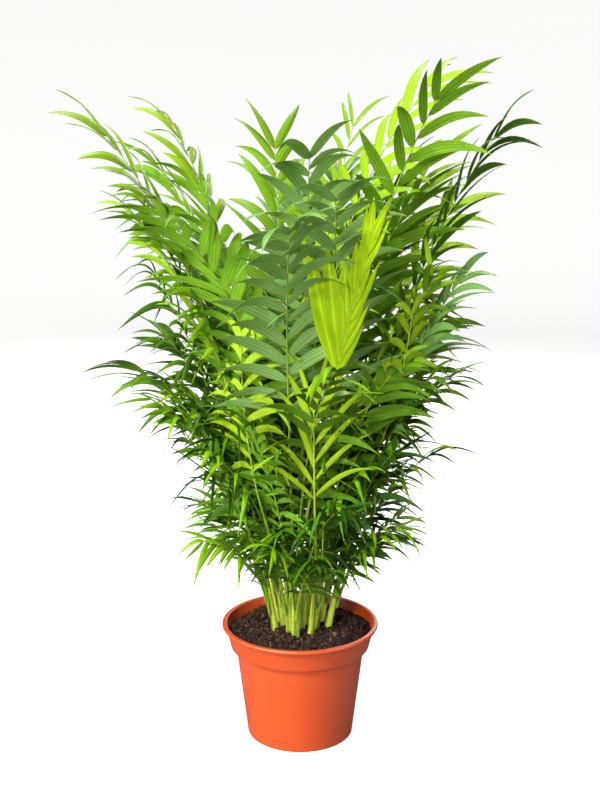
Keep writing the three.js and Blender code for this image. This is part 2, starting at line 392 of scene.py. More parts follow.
def link(obj: bpy.types.Object) -> bpy.types.Object:
    """Puts the object in the scene."""
    bpy.context.scene.collection.objects.link(obj)
    return obj


@dataclass(frozen=True)
class TubeFaces:
    """The faces of a tube of equal rings that is closed by a single vertex at each end.

    The vertices are the foot, then the rings in order, then the tip.
    """

    rings: int
    corners: int
    across: tuple[float, ...]

    def faces(self, alongs: Array) -> list[tuple[Array, Array]]:
        """The quads between rings, and the triangles at the ends, with their UVs.

        Args:
            alongs: The share along the tube of each ring.

        Returns:
            Two pairs of vertex numbers and UVs.
        """
        def join(*columns: Array) -> Array:
            return np.stack(columns, -1)

        n = self.corners
        k = np.arange(n)
        following = (k + 1) % n
        u0, u1 = np.array(self.across), np.array(self.across)[following]
        if self.across[0] < self.across[-1]:
            u1 = np.where(following == 0, 1.0, u1)
        base = 1 + np.arange(self.rings - 1)[:, None] * n
        quads = join(base + k, base + following, base + n + following, base + n + k).reshape(-1, 4)
        v0, v1 = alongs[:-1, None] + 0 * u0, alongs[1:, None] + 0 * u0
        u0s, u1s = 0 * v0 + u0, 0 * v0 + u1
        quad_uv = np.stack([join(u0s, v0), join(u1s, v0), join(u1s, v1), join(u0s, v1)], -2)
        last = 1 + (self.rings - 1) * n
        foot = join(0 * k, 1 + following, 1 + k)
        tip = join(last + k, last + following, 0 * k + last + n)
        middle = (u0 + u1) / 2
        zero, one = 0 * u0, 0 * u0 + 1
        first, final = zero + alongs[0], zero + alongs[-1]
        foot_uv = np.stack([join(middle, zero), join(u1, first), join(u0, first)], -2)
        tip_uv = np.stack([join(u0, final), join(u1, final), join(middle, one)], -2)
        ends = np.concatenate([foot, tip])
        return [(quads, quad_uv.reshape(-1, 4, 2)), (ends, np.concatenate([foot_uv, tip_uv]))]


# ------------------------------------------------------------------------------------------
# Finishes
# ------------------------------------------------------------------------------------------


class NodeTools:
    """Short ways to add and join shader or geometry nodes in one tree."""

    def __init__(self, tree: bpy.types.NodeTree) -> None:
        """Keeps the tree."""
        self.tree = tree

    def add(self, kind: str, inputs: dict[Any, Any] | None = None, **settings: Any) -> bpy.types.Node:
        """Adds a node.

        Args:
            kind: The node's type.
            inputs: Values or output sockets for its inputs, by name, identifier or number.
            settings: Its properties.

        Returns:
            The node.
        """
        node = self.tree.nodes.new(kind)
        for key, value in settings.items():
            setattr(node, key, value)
        for key, value in (inputs or {}).items():
            self.set(node, key, value)
        return node

    def set(self, node: bpy.types.Node, key: Any, value: Any) -> None:
        """Sets one input of a node, or links an output to it."""
        found = [s for s in node.inputs if s.identifier == key]
        socket = found[0] if found else node.inputs[key]
        if isinstance(value, bpy.types.NodeSocket):
            self.tree.links.new(value, socket)
        elif isinstance(value, tuple) and len(value) == 3 and socket.type == "RGBA":
            socket.default_value = (*value, 1.0)
        else:
            socket.default_value = value

    def math(self, operation: str, *values: Any) -> bpy.types.NodeSocket:
        """The result of a Math node."""
        return self.add("ShaderNodeMath", dict(enumerate(values)), operation=operation).outputs[0]

    def mix(self, factor: Any, a: Any, b: Any, blend: str = "MIX") -> bpy.types.NodeSocket:
        """The colour that a Mix node gives."""
        inputs = {"Factor_Float": factor, "A_Color": a, "B_Color": b}
        node = self.add("ShaderNodeMix", inputs, data_type="RGBA", blend_type=blend)
        return next(s for s in node.outputs if s.identifier == "Result_Color")

    def range(self, value: Any, source: tuple[float, float], target: tuple[Any, Any]) -> bpy.types.NodeSocket:
        """The value carried from one range to another."""
        inputs = {"Value": value, "From Min": source[0], "From Max": source[1], "To Min": target[0],
                  "To Max": target[1]}
        return self.add("ShaderNodeMapRange", inputs).outputs[0]

    def swing(self, value: Any, amount: float) -> bpy.types.NodeSocket:
        """A value that lies about one half, centred on nothing and scaled."""
        return self.math("MULTIPLY", self.math("SUBTRACT", value, 0.5), amount)

    def stretch(self, vector: Any, factors: Any) -> bpy.types.NodeSocket:
        """The vector multiplied along each axis."""
        return self.add("ShaderNodeVectorMath", {0: vector, 1: factors}, operation="MULTIPLY").outputs[0]

    def noise(self, vector: Any, scale: Any, detail: float, roughness: float = 0.5) -> bpy.types.NodeSocket:
        """The value of a noise texture."""
        inputs = {"Vector": vector, "Scale": scale, "Detail": detail, "Roughness": roughness}
        return self.add("ShaderNodeTexNoise", inputs).outputs[0]

    def bump(self, shader: bpy.types.Node, strength: float, depth: float, height: Any) -> None:
        """Gives a shader relief, with its depth in metres."""
        inputs = {"Strength": strength, "Distance": depth, "Height": height}
        self.set(shader, "Normal", self.add("ShaderNodeBump", inputs).outputs[0])


class EffectGroups:
    """Shader node groups that more than one finish uses, each built once."""

    _built: dict[str, bpy.types.ShaderNodeTree] = {}

    @classmethod
    def _new(cls, name: str, inputs: dict[str, float], outputs: Iterable[str]) -> bpy.types.ShaderNodeTree:
        """Starts a group with float inputs and outputs."""
        group = bpy.data.node_groups.new(name, "ShaderNodeTree")
        new_socket = group.interface.new_socket
        for key, value in inputs.items():
            new_socket(key, in_out="INPUT", socket_type="NodeSocketFloat").default_value = value
        for key in outputs:
            new_socket(key, in_out="OUTPUT", socket_type="NodeSocketFloat")
        cls._built[name] = group
        return group

    @classmethod
    def veins(cls) -> bpy.types.ShaderNodeTree:
        """Fine veins that run along a blade's own UV, with a midrib.

        Returns:
            A group that puts out Height, the relief, and Streak, a soft mask of lighter lines.
        """
        if "leaf_veins" in cls._built:
            return cls._built["leaf_veins"]
        group = cls._new("leaf_veins", {"Count": 4.0, "Waver": 0.35}, ("Height", "Streak"))
        t = NodeTools(group)
        given = t.add("NodeGroupInput")
        uv = t.add("ShaderNodeUVMap", uv_map="surface").outputs[0]
        split = t.add("ShaderNodeSeparateXYZ", {0: uv})
        drift = t.noise(t.stretch(uv, (3.0, 1.6, 1.0)), 2.0, 1.0)
        shift = t.swing(drift, given.outputs["Waver"])
        turns = t.math("MULTIPLY", t.math("ADD", split.outputs[0], t.math("MULTIPLY", shift, 0.2)),
                       t.math("MULTIPLY", given.outputs["Count"], 2 * math.pi))
        wave = t.math("MULTIPLY_ADD", t.math("COSINE", turns), 0.5, 0.5)
        off = t.math("ABSOLUTE", t.math("SUBTRACT", split.outputs[0], 0.5))
        midrib = t.range(off, (0.0, 0.06), (1.0, 0.0))
        height = t.math("ADD", t.math("MULTIPLY", wave, 0.6), t.math("MULTIPLY", midrib, -0.8))
        streak = t.math("MAXIMUM", t.math("MULTIPLY", t.math("POWER", wave, 3.0), 0.6), midrib)
        t.add("NodeGroupOutput", {"Height": height, "Streak": streak})
        return group

    @classmethod
    def mottle(cls) -> bpy.types.ShaderNodeTree:
        """Soft patches and fine grain in Object coordinates.

        Returns:
            A group that puts out Patch and Grain, both from 0 to 1.
        """
        if "mottle" in cls._built:
            return cls._built["mottle"]
        group = cls._new("mottle", {"Patch Scale": 60.0, "Grain Scale": 900.0}, ("Patch", "Grain"))
        t = NodeTools(group)
        given = t.add("NodeGroupInput")
        where = t.add("ShaderNodeTexCoord").outputs["Object"]
        patch = t.noise(where, given.outputs["Patch Scale"], 3.0, 0.55)
        grain = t.noise(where, given.outputs["Grain Scale"], 2.0, 0.6)
        t.add("NodeGroupOutput", {"Patch": t.range(patch, (0.3, 0.7), (0.0, 1.0)),
                                  "Grain": t.range(grain, (0.3, 0.7), (0.0, 1.0))})
        return group

    @classmethod
    def mottled(cls, t: NodeTools, patch_scale: float, grain_scale: float) -> Any:
        """The outputs of a mottle group that is added to a tree, with its two scales."""
        inputs = {"Patch Scale": patch_scale, "Grain Scale": grain_scale}
        return t.add("ShaderNodeGroup", inputs, node_tree=cls.mottle()).outputs


def new_material(name: str) -> tuple[bpy.types.Material, NodeTools, bpy.types.Node]:
    """Starts a material with a Principled BSDF and an output.

    Args:
        name: The material's name.

    Returns:
        The material, the tools for its tree, and its Principled BSDF.
    """
    material = bpy.data.materials.new(name)
    material.use_nodes = True
    material.node_tree.nodes.clear()
    t = NodeTools(material.node_tree)
    shader = t.add("ShaderNodeBsdfPrincipled")
    t.add("ShaderNodeOutputMaterial", {"Surface": shader.outputs[0]})
    return material, t, shader


@dataclass(frozen=True)
class LeafFinish:
    """Living leaf: a plain green, fine veins along the blade and a soft waxy gloss."""

    name: str
    color: RGB
    roughness: float
    gloss: float
    veins: float
    glow: float
    dark: float = 0.86
    light: float = 1.5
    light_floor: float = 0.006
    streak_roughness: float = 0.12
    relief: float = 0.0003
    glow_radius: RGB = (1.0, 1.0, 0.2)
    glow_depth: float = 0.0012

    def build(self) -> bpy.types.Material:
        """The material."""
        material, t, shader = new_material(self.name)
        veins = t.add("ShaderNodeGroup", {"Count": self.veins}, node_tree=EffectGroups.veins()).outputs
        darker = tuple(c * self.dark for c in self.color)
        lighter = tuple(min(1.0, c * self.light + self.light_floor) for c in self.color)
        t.set(shader, "Base Color", t.mix(veins["Streak"], darker, lighter))
        rough = (self.roughness, self.roughness + self.streak_roughness)
        t.set(shader, "Roughness", t.range(veins["Streak"], (0.0, 1.0), rough))
        t.bump(shader, 0.6, self.relief, veins["Height"])
        t.set(shader, "Specular IOR Level", self.gloss)
        t.set(shader, "Subsurface Weight", self.glow)
        t.set(shader, "Subsurface Radius", self.glow_radius)
        t.set(shader, "Subsurface Scale", self.glow_depth)
        return material


@dataclass(frozen=True)
class RibFinish:
    """Petiole and rib: a smooth green stalk with soft patches and a faint grain."""

    name: str
    color: RGB
    dark: float = 0.7
    roughness: float = 0.4
    relief: float = 0.0002

    def build(self) -> bpy.types.Material:
        """The material."""
        material, t, shader = new_material(self.name)
        mottle = EffectGroups.mottled(t, 90.0, 1400.0)
        darker = tuple(c * self.dark for c in self.color)
        t.set(shader, "Base Color", t.mix(t.math("MULTIPLY", mottle["Patch"], 0.6), self.color, darker))
        t.bump(shader, 0.3, self.relief, mottle["Grain"])
        t.set(shader, "Roughness", self.roughness)
        return material


@dataclass(frozen=True)
class CaneFinish:
    """Cane: pale skin that turns green with height, with length-wise fibres and a few brown specks."""

    name: str = "cane_skin"
    pale: RGB = (0.52, 0.61, 0.06)
    green: RGB = (0.12, 0.20, 0.008)
    speck: RGB = (0.09, 0.035, 0.02)
    greening: tuple[float, float] = (0.125, 0.24)
    relief: float = 0.0004

    def build(self) -> bpy.types.Material:
        """The material."""
        material, t, shader = new_material(self.name)
        uv = t.add("ShaderNodeUVMap", uv_map="surface").outputs[0]
        where = t.add("ShaderNodeTexCoord").outputs["Object"]
        height = t.add("ShaderNodeSeparateXYZ", {0: where}).outputs[2]
        fibre = t.noise(t.stretch(uv, (26.0, 2.2, 1.0)), 1.0, 3.0)
        sheath = t.noise(t.stretch(uv, (3.2, 0.35, 1.0)), 1.0, 1.0)
        patch = t.noise(where, 45.0, 2.0)
        spots = t.noise(where, 210.0, 1.0)
        blend = t.math("ADD", t.range(height, self.greening, (0.0, 0.75)), t.swing(patch, 1.3))
        blend = t.math("ADD", blend, t.range(sheath, (0.4, 0.6), (-0.3, 0.8)))
        blend = t.math("ADD", blend, t.swing(fibre, 0.7))
        skin = t.mix(t.range(blend, (0.0, 1.0), (0.0, 1.0)), self.pale, self.green)
        skin = t.mix(t.range(spots, (0.68, 0.74), (0.0, 0.7)), skin, self.speck)
        t.set(shader, "Base Color", skin)
        t.bump(shader, 0.5, self.relief, fibre)
        t.set(shader, "Roughness", t.range(fibre, (0.3, 0.7), (0.38, 0.6)))
        return material


@dataclass(frozen=True)
class PotFinish:
    """Pot: orange-brown moulded plastic, fine speckle and a soft broad gloss."""

    name: str = "pot_plastic"
    color: RGB = (0.57, 0.062, 0.006)
    shade: RGB = (0.50, 0.047, 0.003)
    speckle: RGB = (0.72, 0.15, 0.04)
    roughness: tuple[float, float] = (0.32, 0.42)
    gloss: float = 0.9
    relief: float = 0.00012

    def build(self) -> bpy.types.Material:
        """The material."""
        material, t, shader = new_material(self.name)
        mottle = EffectGroups.mottled(t, 26.0, 1500.0)
        tone = t.mix(t.math("MULTIPLY", mottle["Patch"], 0.5), self.color, self.shade)
        tone = t.mix(t.math("MULTIPLY", mottle["Grain"], 0.22), tone, self.speckle)
        t.set(shader, "Base Color", tone)
        t.set(shader, "Roughness", t.range(mottle["Grain"], (0.0, 1.0), self.roughness))
        t.bump(shader, 0.35, self.relief, mottle["Grain"])
        t.set(shader, "Specular IOR Level", self.gloss)
        return material


@dataclass(frozen=True)
class SoilFinish:
    """Potting soil, or the crumbs and fibres in it: dark, dry on top and without gloss."""

    name: str
    dark: RGB
    light: RGB
    roughness: float = 0.88
    gloss: float = 0.25
    relief: float = 0.0006

    def build(self) -> bpy.types.Material:
        """The material."""
        material, t, shader = new_material(self.name)
        mottle = EffectGroups.mottled(t, 160.0, 1100.0)
        factor = t.math("MULTIPLY", mottle["Patch"], mottle["Grain"])
        t.set(shader, "Base Color", t.mix(factor, self.dark, self.light))
        t.bump(shader, 0.8, self.relief, mottle["Grain"])
        t.set(shader, "Roughness", self.roughness)
        t.set(shader, "Specular IOR Level", self.gloss)
        return material


# ------------------------------------------------------------------------------------------
# Leaflets and fronds
# ------------------------------------------------------------------------------------------


@dataclass(frozen=True)
class Section:
    """The corners of a blade's section: the upper side's from edge to edge, then the under side's."""

    upper: tuple[float, ...]
    under: tuple[float, ...]
    pleats: int = 0

    LEVEL = 0.25
    PLEAT_DEPTH = 0.13

    @property
    def places(self) -> Array:
        """The place of each corner across the blade, from -1 to 1."""
        return np.array(self.upper + self.under)

    @property
    def is_under(self) -> Array:
        """Whether the face that starts at each corner belongs to the under side."""
        return np.arange(len(self.upper) + len(self.under)) >= len(self.upper) - 1

    @property
    def offsets(self) -> Array:
        """How far each corner stands off the blade's middle, in halves of its thickness."""
        up = np.where(np.abs(self.upper) == 1.0, 0.0, 1.0)
        return np.concatenate((up, -np.ones(len(self.under))))

    def dip(self, fold: float) -> Array:
        """How far each corner lies under the midrib's level, as a share of the half width."""
        trough = fold * (np.abs(self.places) - self.LEVEL)
        if not self.pleats:
            return trough
        phase = (self.places + 1) / 2 * self.pleats
        return trough + self.PLEAT_DEPTH * np.abs(2 * (phase - np.floor(phase + 0.5)))


def pleated(pleats: int) -> Section:
    """The section of a blade that is still folded along its veins."""
    corners = tuple(np.linspace(-1.0, 1.0, 2 * pleats + 1))
    return Section(corners, corners[-2:0:-1], pleats)


PLAIN = Section((-1.0, -0.5, 0.0, 0.5, 1.0), (0.9, 0.0, -0.9))
SECTIONS = {0: PLAIN, 4: pleated(4)}


@dataclass(frozen=True)
class Leaflet:
    """One lance-shaped blade: its place, its run, its size in millimetres and how it bends."""

    root: Array
    direction: Array
    face: Array
    forward: Array
    length: float
    half: float
    droop: float
    sickle: float
    twist: float
    fold: float
    curl: float
    club: float = 1.0

    RINGS = 10
    END_CROWDING = 0.055
    THICKNESS = 0.36
    SINK = 0.6
    FULLNESS = 1.08
    FOOT_PINCH = 0.86
    FOOT_LENGTH = 0.1
    TIP_REACH = 3.2
    TIP_TAPER = 1.1

    @classmethod
    def shares(cls) -> Array:
        """The shares of the length at which the blade has rings, closer at its ends."""
        even = np.linspace(0.0, 1.0, cls.RINGS + 2)[1:-1]
        return even - cls.END_CROWDING * np.sin(2 * np.pi * even)

    @classmethod
    def outline(cls, share: Array) -> Array:
        """The half width at each share, as a share of the greatest half width."""
        foot = 1 - cls.FOOT_PINCH * np.exp(-share / cls.FOOT_LENGTH)
        return cls.FULLNESS * foot * np.clip(1 - share**cls.TIP_REACH, 0, 1) ** cls.TIP_TAPER

    def vertices(self, section: Section) -> Array:
        """The foot, the rings and the tip.

        Args:
            section: The corners of each ring.

        Returns:
            The vertices in millimetres.
        """
        u = self.shares()
        full = np.concatenate(([0.0], u, [1.0]))[:, None]
        fall = -UP * self.length * self.droop
        centre = self.root + self.direction * self.length * full + fall * full**2
        centre = centre + self.forward * self.length * self.sickle * full**2
        centre = centre - self.face * self.length * self.curl * full**3
        run = np.gradient(centre, axis=0)
        run /= np.linalg.norm(run, axis=1, keepdims=True)
        edge = np.cross(self.face, self.direction)
        edge = edge - run * (run @ edge)[:, None]
        edge /= np.linalg.norm(edge, axis=1, keepdims=True)
        face = np.cross(run, edge)
        angle = self.twist * full
        edge, face = edge * np.cos(angle) + face * np.sin(angle), face * np.cos(angle) - edge * np.sin(angle)
        half = self.half * self.outline(u**self.club)[:, None, None]
        place = section.places[None, :, None]
        dip = section.dip(self.fold)[None, :, None]
        body = self.THICKNESS / 2 * section.offsets[None, :, None]
        e, f = edge[1:-1, None, :], face[1:-1, None, :]
        rings = centre[1:-1, None, :] + e * half * place + f * (body - half * dip)
        foot = self.root - self.direction * self.SINK
        return np.concatenate([foot[None], rings.reshape(-1, 3), centre[-1:]])


@dataclass(frozen=True)
class FrondTone:
    """The materials that one frond takes, as numbers in its piece's list."""

    upper: int
    under: int


class FrondMaker:
    """Grows fronds by the rule: puts their leaflets in a mesh and gives the lines of their ribs."""

    STAGGER = 0.2
    LAST_PLACE = 0.985
    NARROWEST = 0.75
    ANGLE_SPREAD = 5.0
    LIFT_SPREAD = 0.09
    LENGTH_SPREAD = 0.07
    WIDTH_SPREAD = 0.08
    DROOP_SPREAD = 0.3
    BEND_SPREAD = 0.04
    SEEDS_PER_TIER = 1000
    FIRST_SEED = 7

    def __init__(self, rule: GrowthRule) -> None:
        """Keeps the rule and works out the faces that blades share, one set for each section."""
        self.rule = rule
        self.parts = {pleats: self._faces(section) for pleats, section in SECTIONS.items()}

    @staticmethod
    def _faces(section: Section) -> tuple[list[tuple[Array, Array]], list[Array], Array]:
        """The faces of a blade with one section, which of them face down, and its sharp edges."""
        n, rings, under = len(section.places), Leaflet.RINGS, section.is_under
        tube = TubeFaces(rings, n, tuple((section.places + 1) / 2))
        lines = []
        for corner in (0, len(section.upper) - 1):
            chain = np.concatenate(([0], 1 + corner + np.arange(rings) * n, [1 + rings * n]))
            lines.append(np.stack([chain[:-1], chain[1:]], -1))
        facing_down = [np.tile(under, rings - 1), np.tile(under, 2)]
        return tube.faces(Leaflet.shares()), facing_down, np.concatenate(lines)

    def leaflets(self, habit: Habit, line: Line, draw: np.random.RandomState) -> list[Leaflet]:
        """The leaflets of a frond, in pairs a little out of step.

        Args:
            habit: How the frond grows.
            line: Its rib's line.
            draw: Its own seeded numbers.

        Returns:
            The leaflets from the petiole to the tip.
        """
        def spread(amount: float) -> float:
            return amount * (habit.disorder * draw.normal())

        made = []
        for pair in range(habit.pairs):
            along = pair / (habit.pairs - 1)
            fullness = math.sin(math.pi * lerp(*habit.fullest, along))
            for hand in habit.hands:
                step = along + self.STAGGER * hand / habit.pairs
                place = lerp(*habit.blade, min(max(step, 0.0), self.LAST_PLACE))
                at = line.at(lerp(habit.petiole, 1.0, place))
                forward = math.radians(lerp(*habit.angles, along) + spread(self.ANGLE_SPREAD))
                across = unit(at.side * hand + at.normal * (habit.lift + spread(self.LIFT_SPREAD)))
                direction = across * math.sin(forward) + at.tangent * math.cos(forward)
                face = unit(at.normal - direction * (at.normal @ direction))
                length = habit.leaflet * lerp(habit.end_length, 1.0, fullness)
                half = habit.width / 2 * lerp(self.NARROWEST, 1.0, fullness)
                made.append(Leaflet(
                    root=at.point, direction=direction, face=face, forward=at.tangent,
                    length=length * (1 + spread(self.LENGTH_SPREAD)),
                    half=half * (1 + spread(self.WIDTH_SPREAD)),
                    droop=habit.droop * (1 + spread(self.DROOP_SPREAD)),
                    sickle=habit.sickle + spread(self.BEND_SPREAD),
                    twist=math.radians(spread(habit.twist)), fold=habit.fold,
                    curl=habit.curl + spread(self.BEND_SPREAD), club=habit.club))
        return made

    def grow(self, habit: Habit, i: int, buffer: MeshBuffer, tone: FrondTone) -> Line:
        """Grows one frond.

        Args:
            habit: How it grows.
            i: The number of its stem.
            buffer: Takes its leaflets.
            tone: Its materials.

        Returns:
            The line of its rib.
        """
        line = self.rule.frond_line(habit, i)
        draw = np.random.RandomState(self.SEEDS_PER_TIER * habit.key + i + self.FIRST_SEED)
        faces, under, edges = self.parts[habit.pleats]
        shades = [np.where(mask, tone.under, tone.upper) for mask in under]
        for leaflet in self.leaflets(habit, line, draw):
            buffer.add(leaflet.vertices(SECTIONS[habit.pleats]), faces, shades, edges)
        return line


class GeometryTree:
    """A Geometry Nodes tree with named inputs, which puts one material on all that it makes."""

    NAME = ""
    INPUTS: dict[str, tuple[str, Any]] = {}

    @classmethod
    def tree(cls) -> bpy.types.GeometryNodeTree:
        """The tree, built once."""
        if cls.NAME in bpy.data.node_groups:
            return bpy.data.node_groups[cls.NAME]
        group = bpy.data.node_groups.new(cls.NAME, "GeometryNodeTree")
        inputs = {"Geometry": ("Geometry", None), **cls.INPUTS, "Material": ("Material", None)}
        for name, (kind, value) in inputs.items():
            socket = group.interface.new_socket(name, in_out="INPUT", socket_type=f"NodeSocket{kind}")
            if value is not None:
                socket.default_value = value
        group.interface.new_socket("Geometry", in_out="OUTPUT", socket_type="NodeSocketGeometry")
        t = NodeTools(group)
        given = t.add("NodeGroupInput").outputs
        whole = t.add("GeometryNodeRealizeInstances", {"Geometry": cls.shape(t, given)}).outputs[0]
        done = t.add("GeometryNodeSetMaterial", {"Geometry": whole, "Material": given["Material"]})
        t.add("NodeGroupOutput", {"Geometry": done.outputs[0]})
        return group

    @classmethod
    def shape(cls, t: NodeTools, given: Any) -> bpy.types.NodeSocket:
        """The geometry that the tree makes from its inputs."""
        raise NotImplementedError


class RibTree(GeometryTree):
    """Turns lines with a radius into closed stalks."""

    NAME = "stalks_along_lines"
    INPUTS = {"Thickness": ("Float", 1.0), "Sides": ("Int", 7)}

    @classmethod
    def shape(cls, t: NodeTools, given: Any) -> bpy.types.NodeSocket:
        """The stalks."""
        curve = t.add("GeometryNodeMeshToCurve", {"Mesh": given["Geometry"]}).outputs[0]
        radius = t.add("GeometryNodeInputNamedAttribute", {"Name": "stalk_radius"}, data_type="FLOAT")
        radius = t.math("MULTIPLY", radius.outputs[0], given["Thickness"])
        circle = {"Resolution": given["Sides"], "Radius": 1.0}
        circle = t.add("GeometryNodeCurvePrimitiveCircle", circle).outputs[0]
        inputs = {"Curve": curve, "Profile Curve": circle, "Scale": radius, "Fill Caps": True}
        mesh = t.add("GeometryNodeCurveToMesh", inputs).outputs[0]
        return t.add("GeometryNodeSetShadeSmooth", {"Geometry": mesh}).outputs[0]


def keep_result(obj: bpy.types.Object, modifier: bpy.types.Modifier) -> None:
    """Replaces an object's mesh by what its modifier makes of it."""
    bpy.context.view_layer.update()
    made = bpy.data.meshes.new_from_object(obj.evaluated_get(bpy.context.evaluated_depsgraph_get()))
    obj.modifiers.remove(modifier)
    old, obj.data = obj.data, made
    bpy.data.meshes.remove(old)
    made.name = obj.name


def run_tree(obj: bpy.types.Object, tree: bpy.types.GeometryNodeTree, values: dict[str, Any]) -> None:
    """Runs a Geometry Nodes tree on an object and keeps the result as its plain mesh.

    Args:
        obj: The object, whose mesh is replaced.
        tree: The tree.
        values: The tree's inputs by name.
    """
    modifier = obj.modifiers.new("build", "NODES")
    modifier.node_group = tree
    for item in tree.interface.items_tree:
        if item.item_type == "SOCKET" and item.in_out == "INPUT" and item.name in values:
            modifier[item.identifier] = values[item.name]
    keep_result(obj, modifier)


@dataclass
class Foliage:
    """One kind of frond as two pieces: its leaflets, and its petioles and ribs."""

    name: str
    slot: str
    habits: list[Habit]
    leaf_tones: list[RGB]
    under_tones: list[RGB]
    rib_color: RGB
    rule: GrowthRule
    roughness: float = 0.42
    gloss: float = 0.35
    glow: float = 0.5
    veins: float = 4.0
    solids: tuple[str, ...] = ()
    flare: float = 0.6
    flare_length: float = 0.05
    rib_tip: float = 0.45
    rib_taper: float = 0.8
    rib_sides: int = 7
    under_roughness: float = 0.6

    TONE_ROW = 1311
    TONES_APART = 37
    BELOW_ONE = 0.9999

    def tone_of(self, habit: Habit, i: int) -> int:
        """The number of the shade that a frond takes."""
        pick = (self.rule.vary(self.TONE_ROW + self.TONES_APART * habit.key + i) + 1) / 2
        return int(pick * len(self.leaf_tones) * self.BELOW_ONE)

    def _materials(self) -> list[bpy.types.Material]:
        """The leaflets' materials: each tone of the upper side, then each of the under side."""
        def build(side: str, tones: list[RGB], roughness: float, gloss: float) -> list[bpy.types.Material]:
            return [LeafFinish(f"{self.name}_{side}_{n + 1}", tone, roughness, gloss, self.veins,
                               self.glow).build() for n, tone in enumerate(tones)]

        upper = build("green", self.leaf_tones, self.roughness, self.gloss)
        return upper + build("underside", self.under_tones, self.under_roughness, self.gloss / 2)

    def build(self) -> list[bpy.types.Object]:
        """Builds both pieces.

        Returns:
            The leaflets' object and the ribs' object.
        """
        maker, buffer, lines = FrondMaker(self.rule), MeshBuffer(), {}
        for habit in self.habits:
            for i in habit.stems:
                shade = self.tone_of(habit, i)
                tone = FrondTone(shade, len(self.leaf_tones) + shade % len(self.under_tones))
                lines[habit.key, i] = (maker.grow(habit, i, buffer, tone), habit)
        leaves = buffer.write(f"{self.name}_leaves", self._materials())
        LOG.info("%s: %d fronds, %d triangles", leaves.name, len(lines), buffer.triangles)
        return [leaves, self._ribs(list(lines.values()))]

    def _ribs(self, lines: list[tuple[Line, Habit]]) -> bpy.types.Object:
        """The petioles and ribs, as stalks along the fronds' lines."""
        verts, edges, radii = [], [], []
        for line, habit in lines:
            first, count = len(verts), len(line.points)
            for k, point in enumerate(line.points):
                share = k / (count - 1)
                verts.append(point * MM)
                flare = self.flare * math.exp(-share / self.flare_length)
                radii.append((lerp(habit.rib_radius, self.rib_tip, share**self.rib_taper) + flare) * MM)
            edges += [(first + k, first + k + 1) for k in range(count - 1)]
        mesh = bpy.data.meshes.new(f"{self.name}_ribs")
        mesh.from_pydata(verts, edges, [])
        mesh.attributes.new("stalk_radius", "FLOAT", "POINT").data.foreach_set("value", radii)
        obj = link(bpy.data.objects.new(f"{self.name}_ribs", mesh))
        material = RibFinish(f"{self.name}_rib", self.rib_color).build()
        run_tree(obj, RibTree.tree(), {"Thickness": 1.0, "Sides": self.rib_sides, "Material": material})
        LOG.info("%s: %d faces", obj.name, len(obj.data.polygons))
        return obj

    def fit(self) -> None:
        """Builds the pieces and joins them to the frame."""
        leaves, ribs = self.build()
        for piece in (leaves, ribs):
            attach(piece, BODY)
        if self.solids:
            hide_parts(*self.solids)
            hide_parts(*self.solids)


# ------------------------------------------------------------------------------------------
# Canes
# ------------------------------------------------------------------------------------------


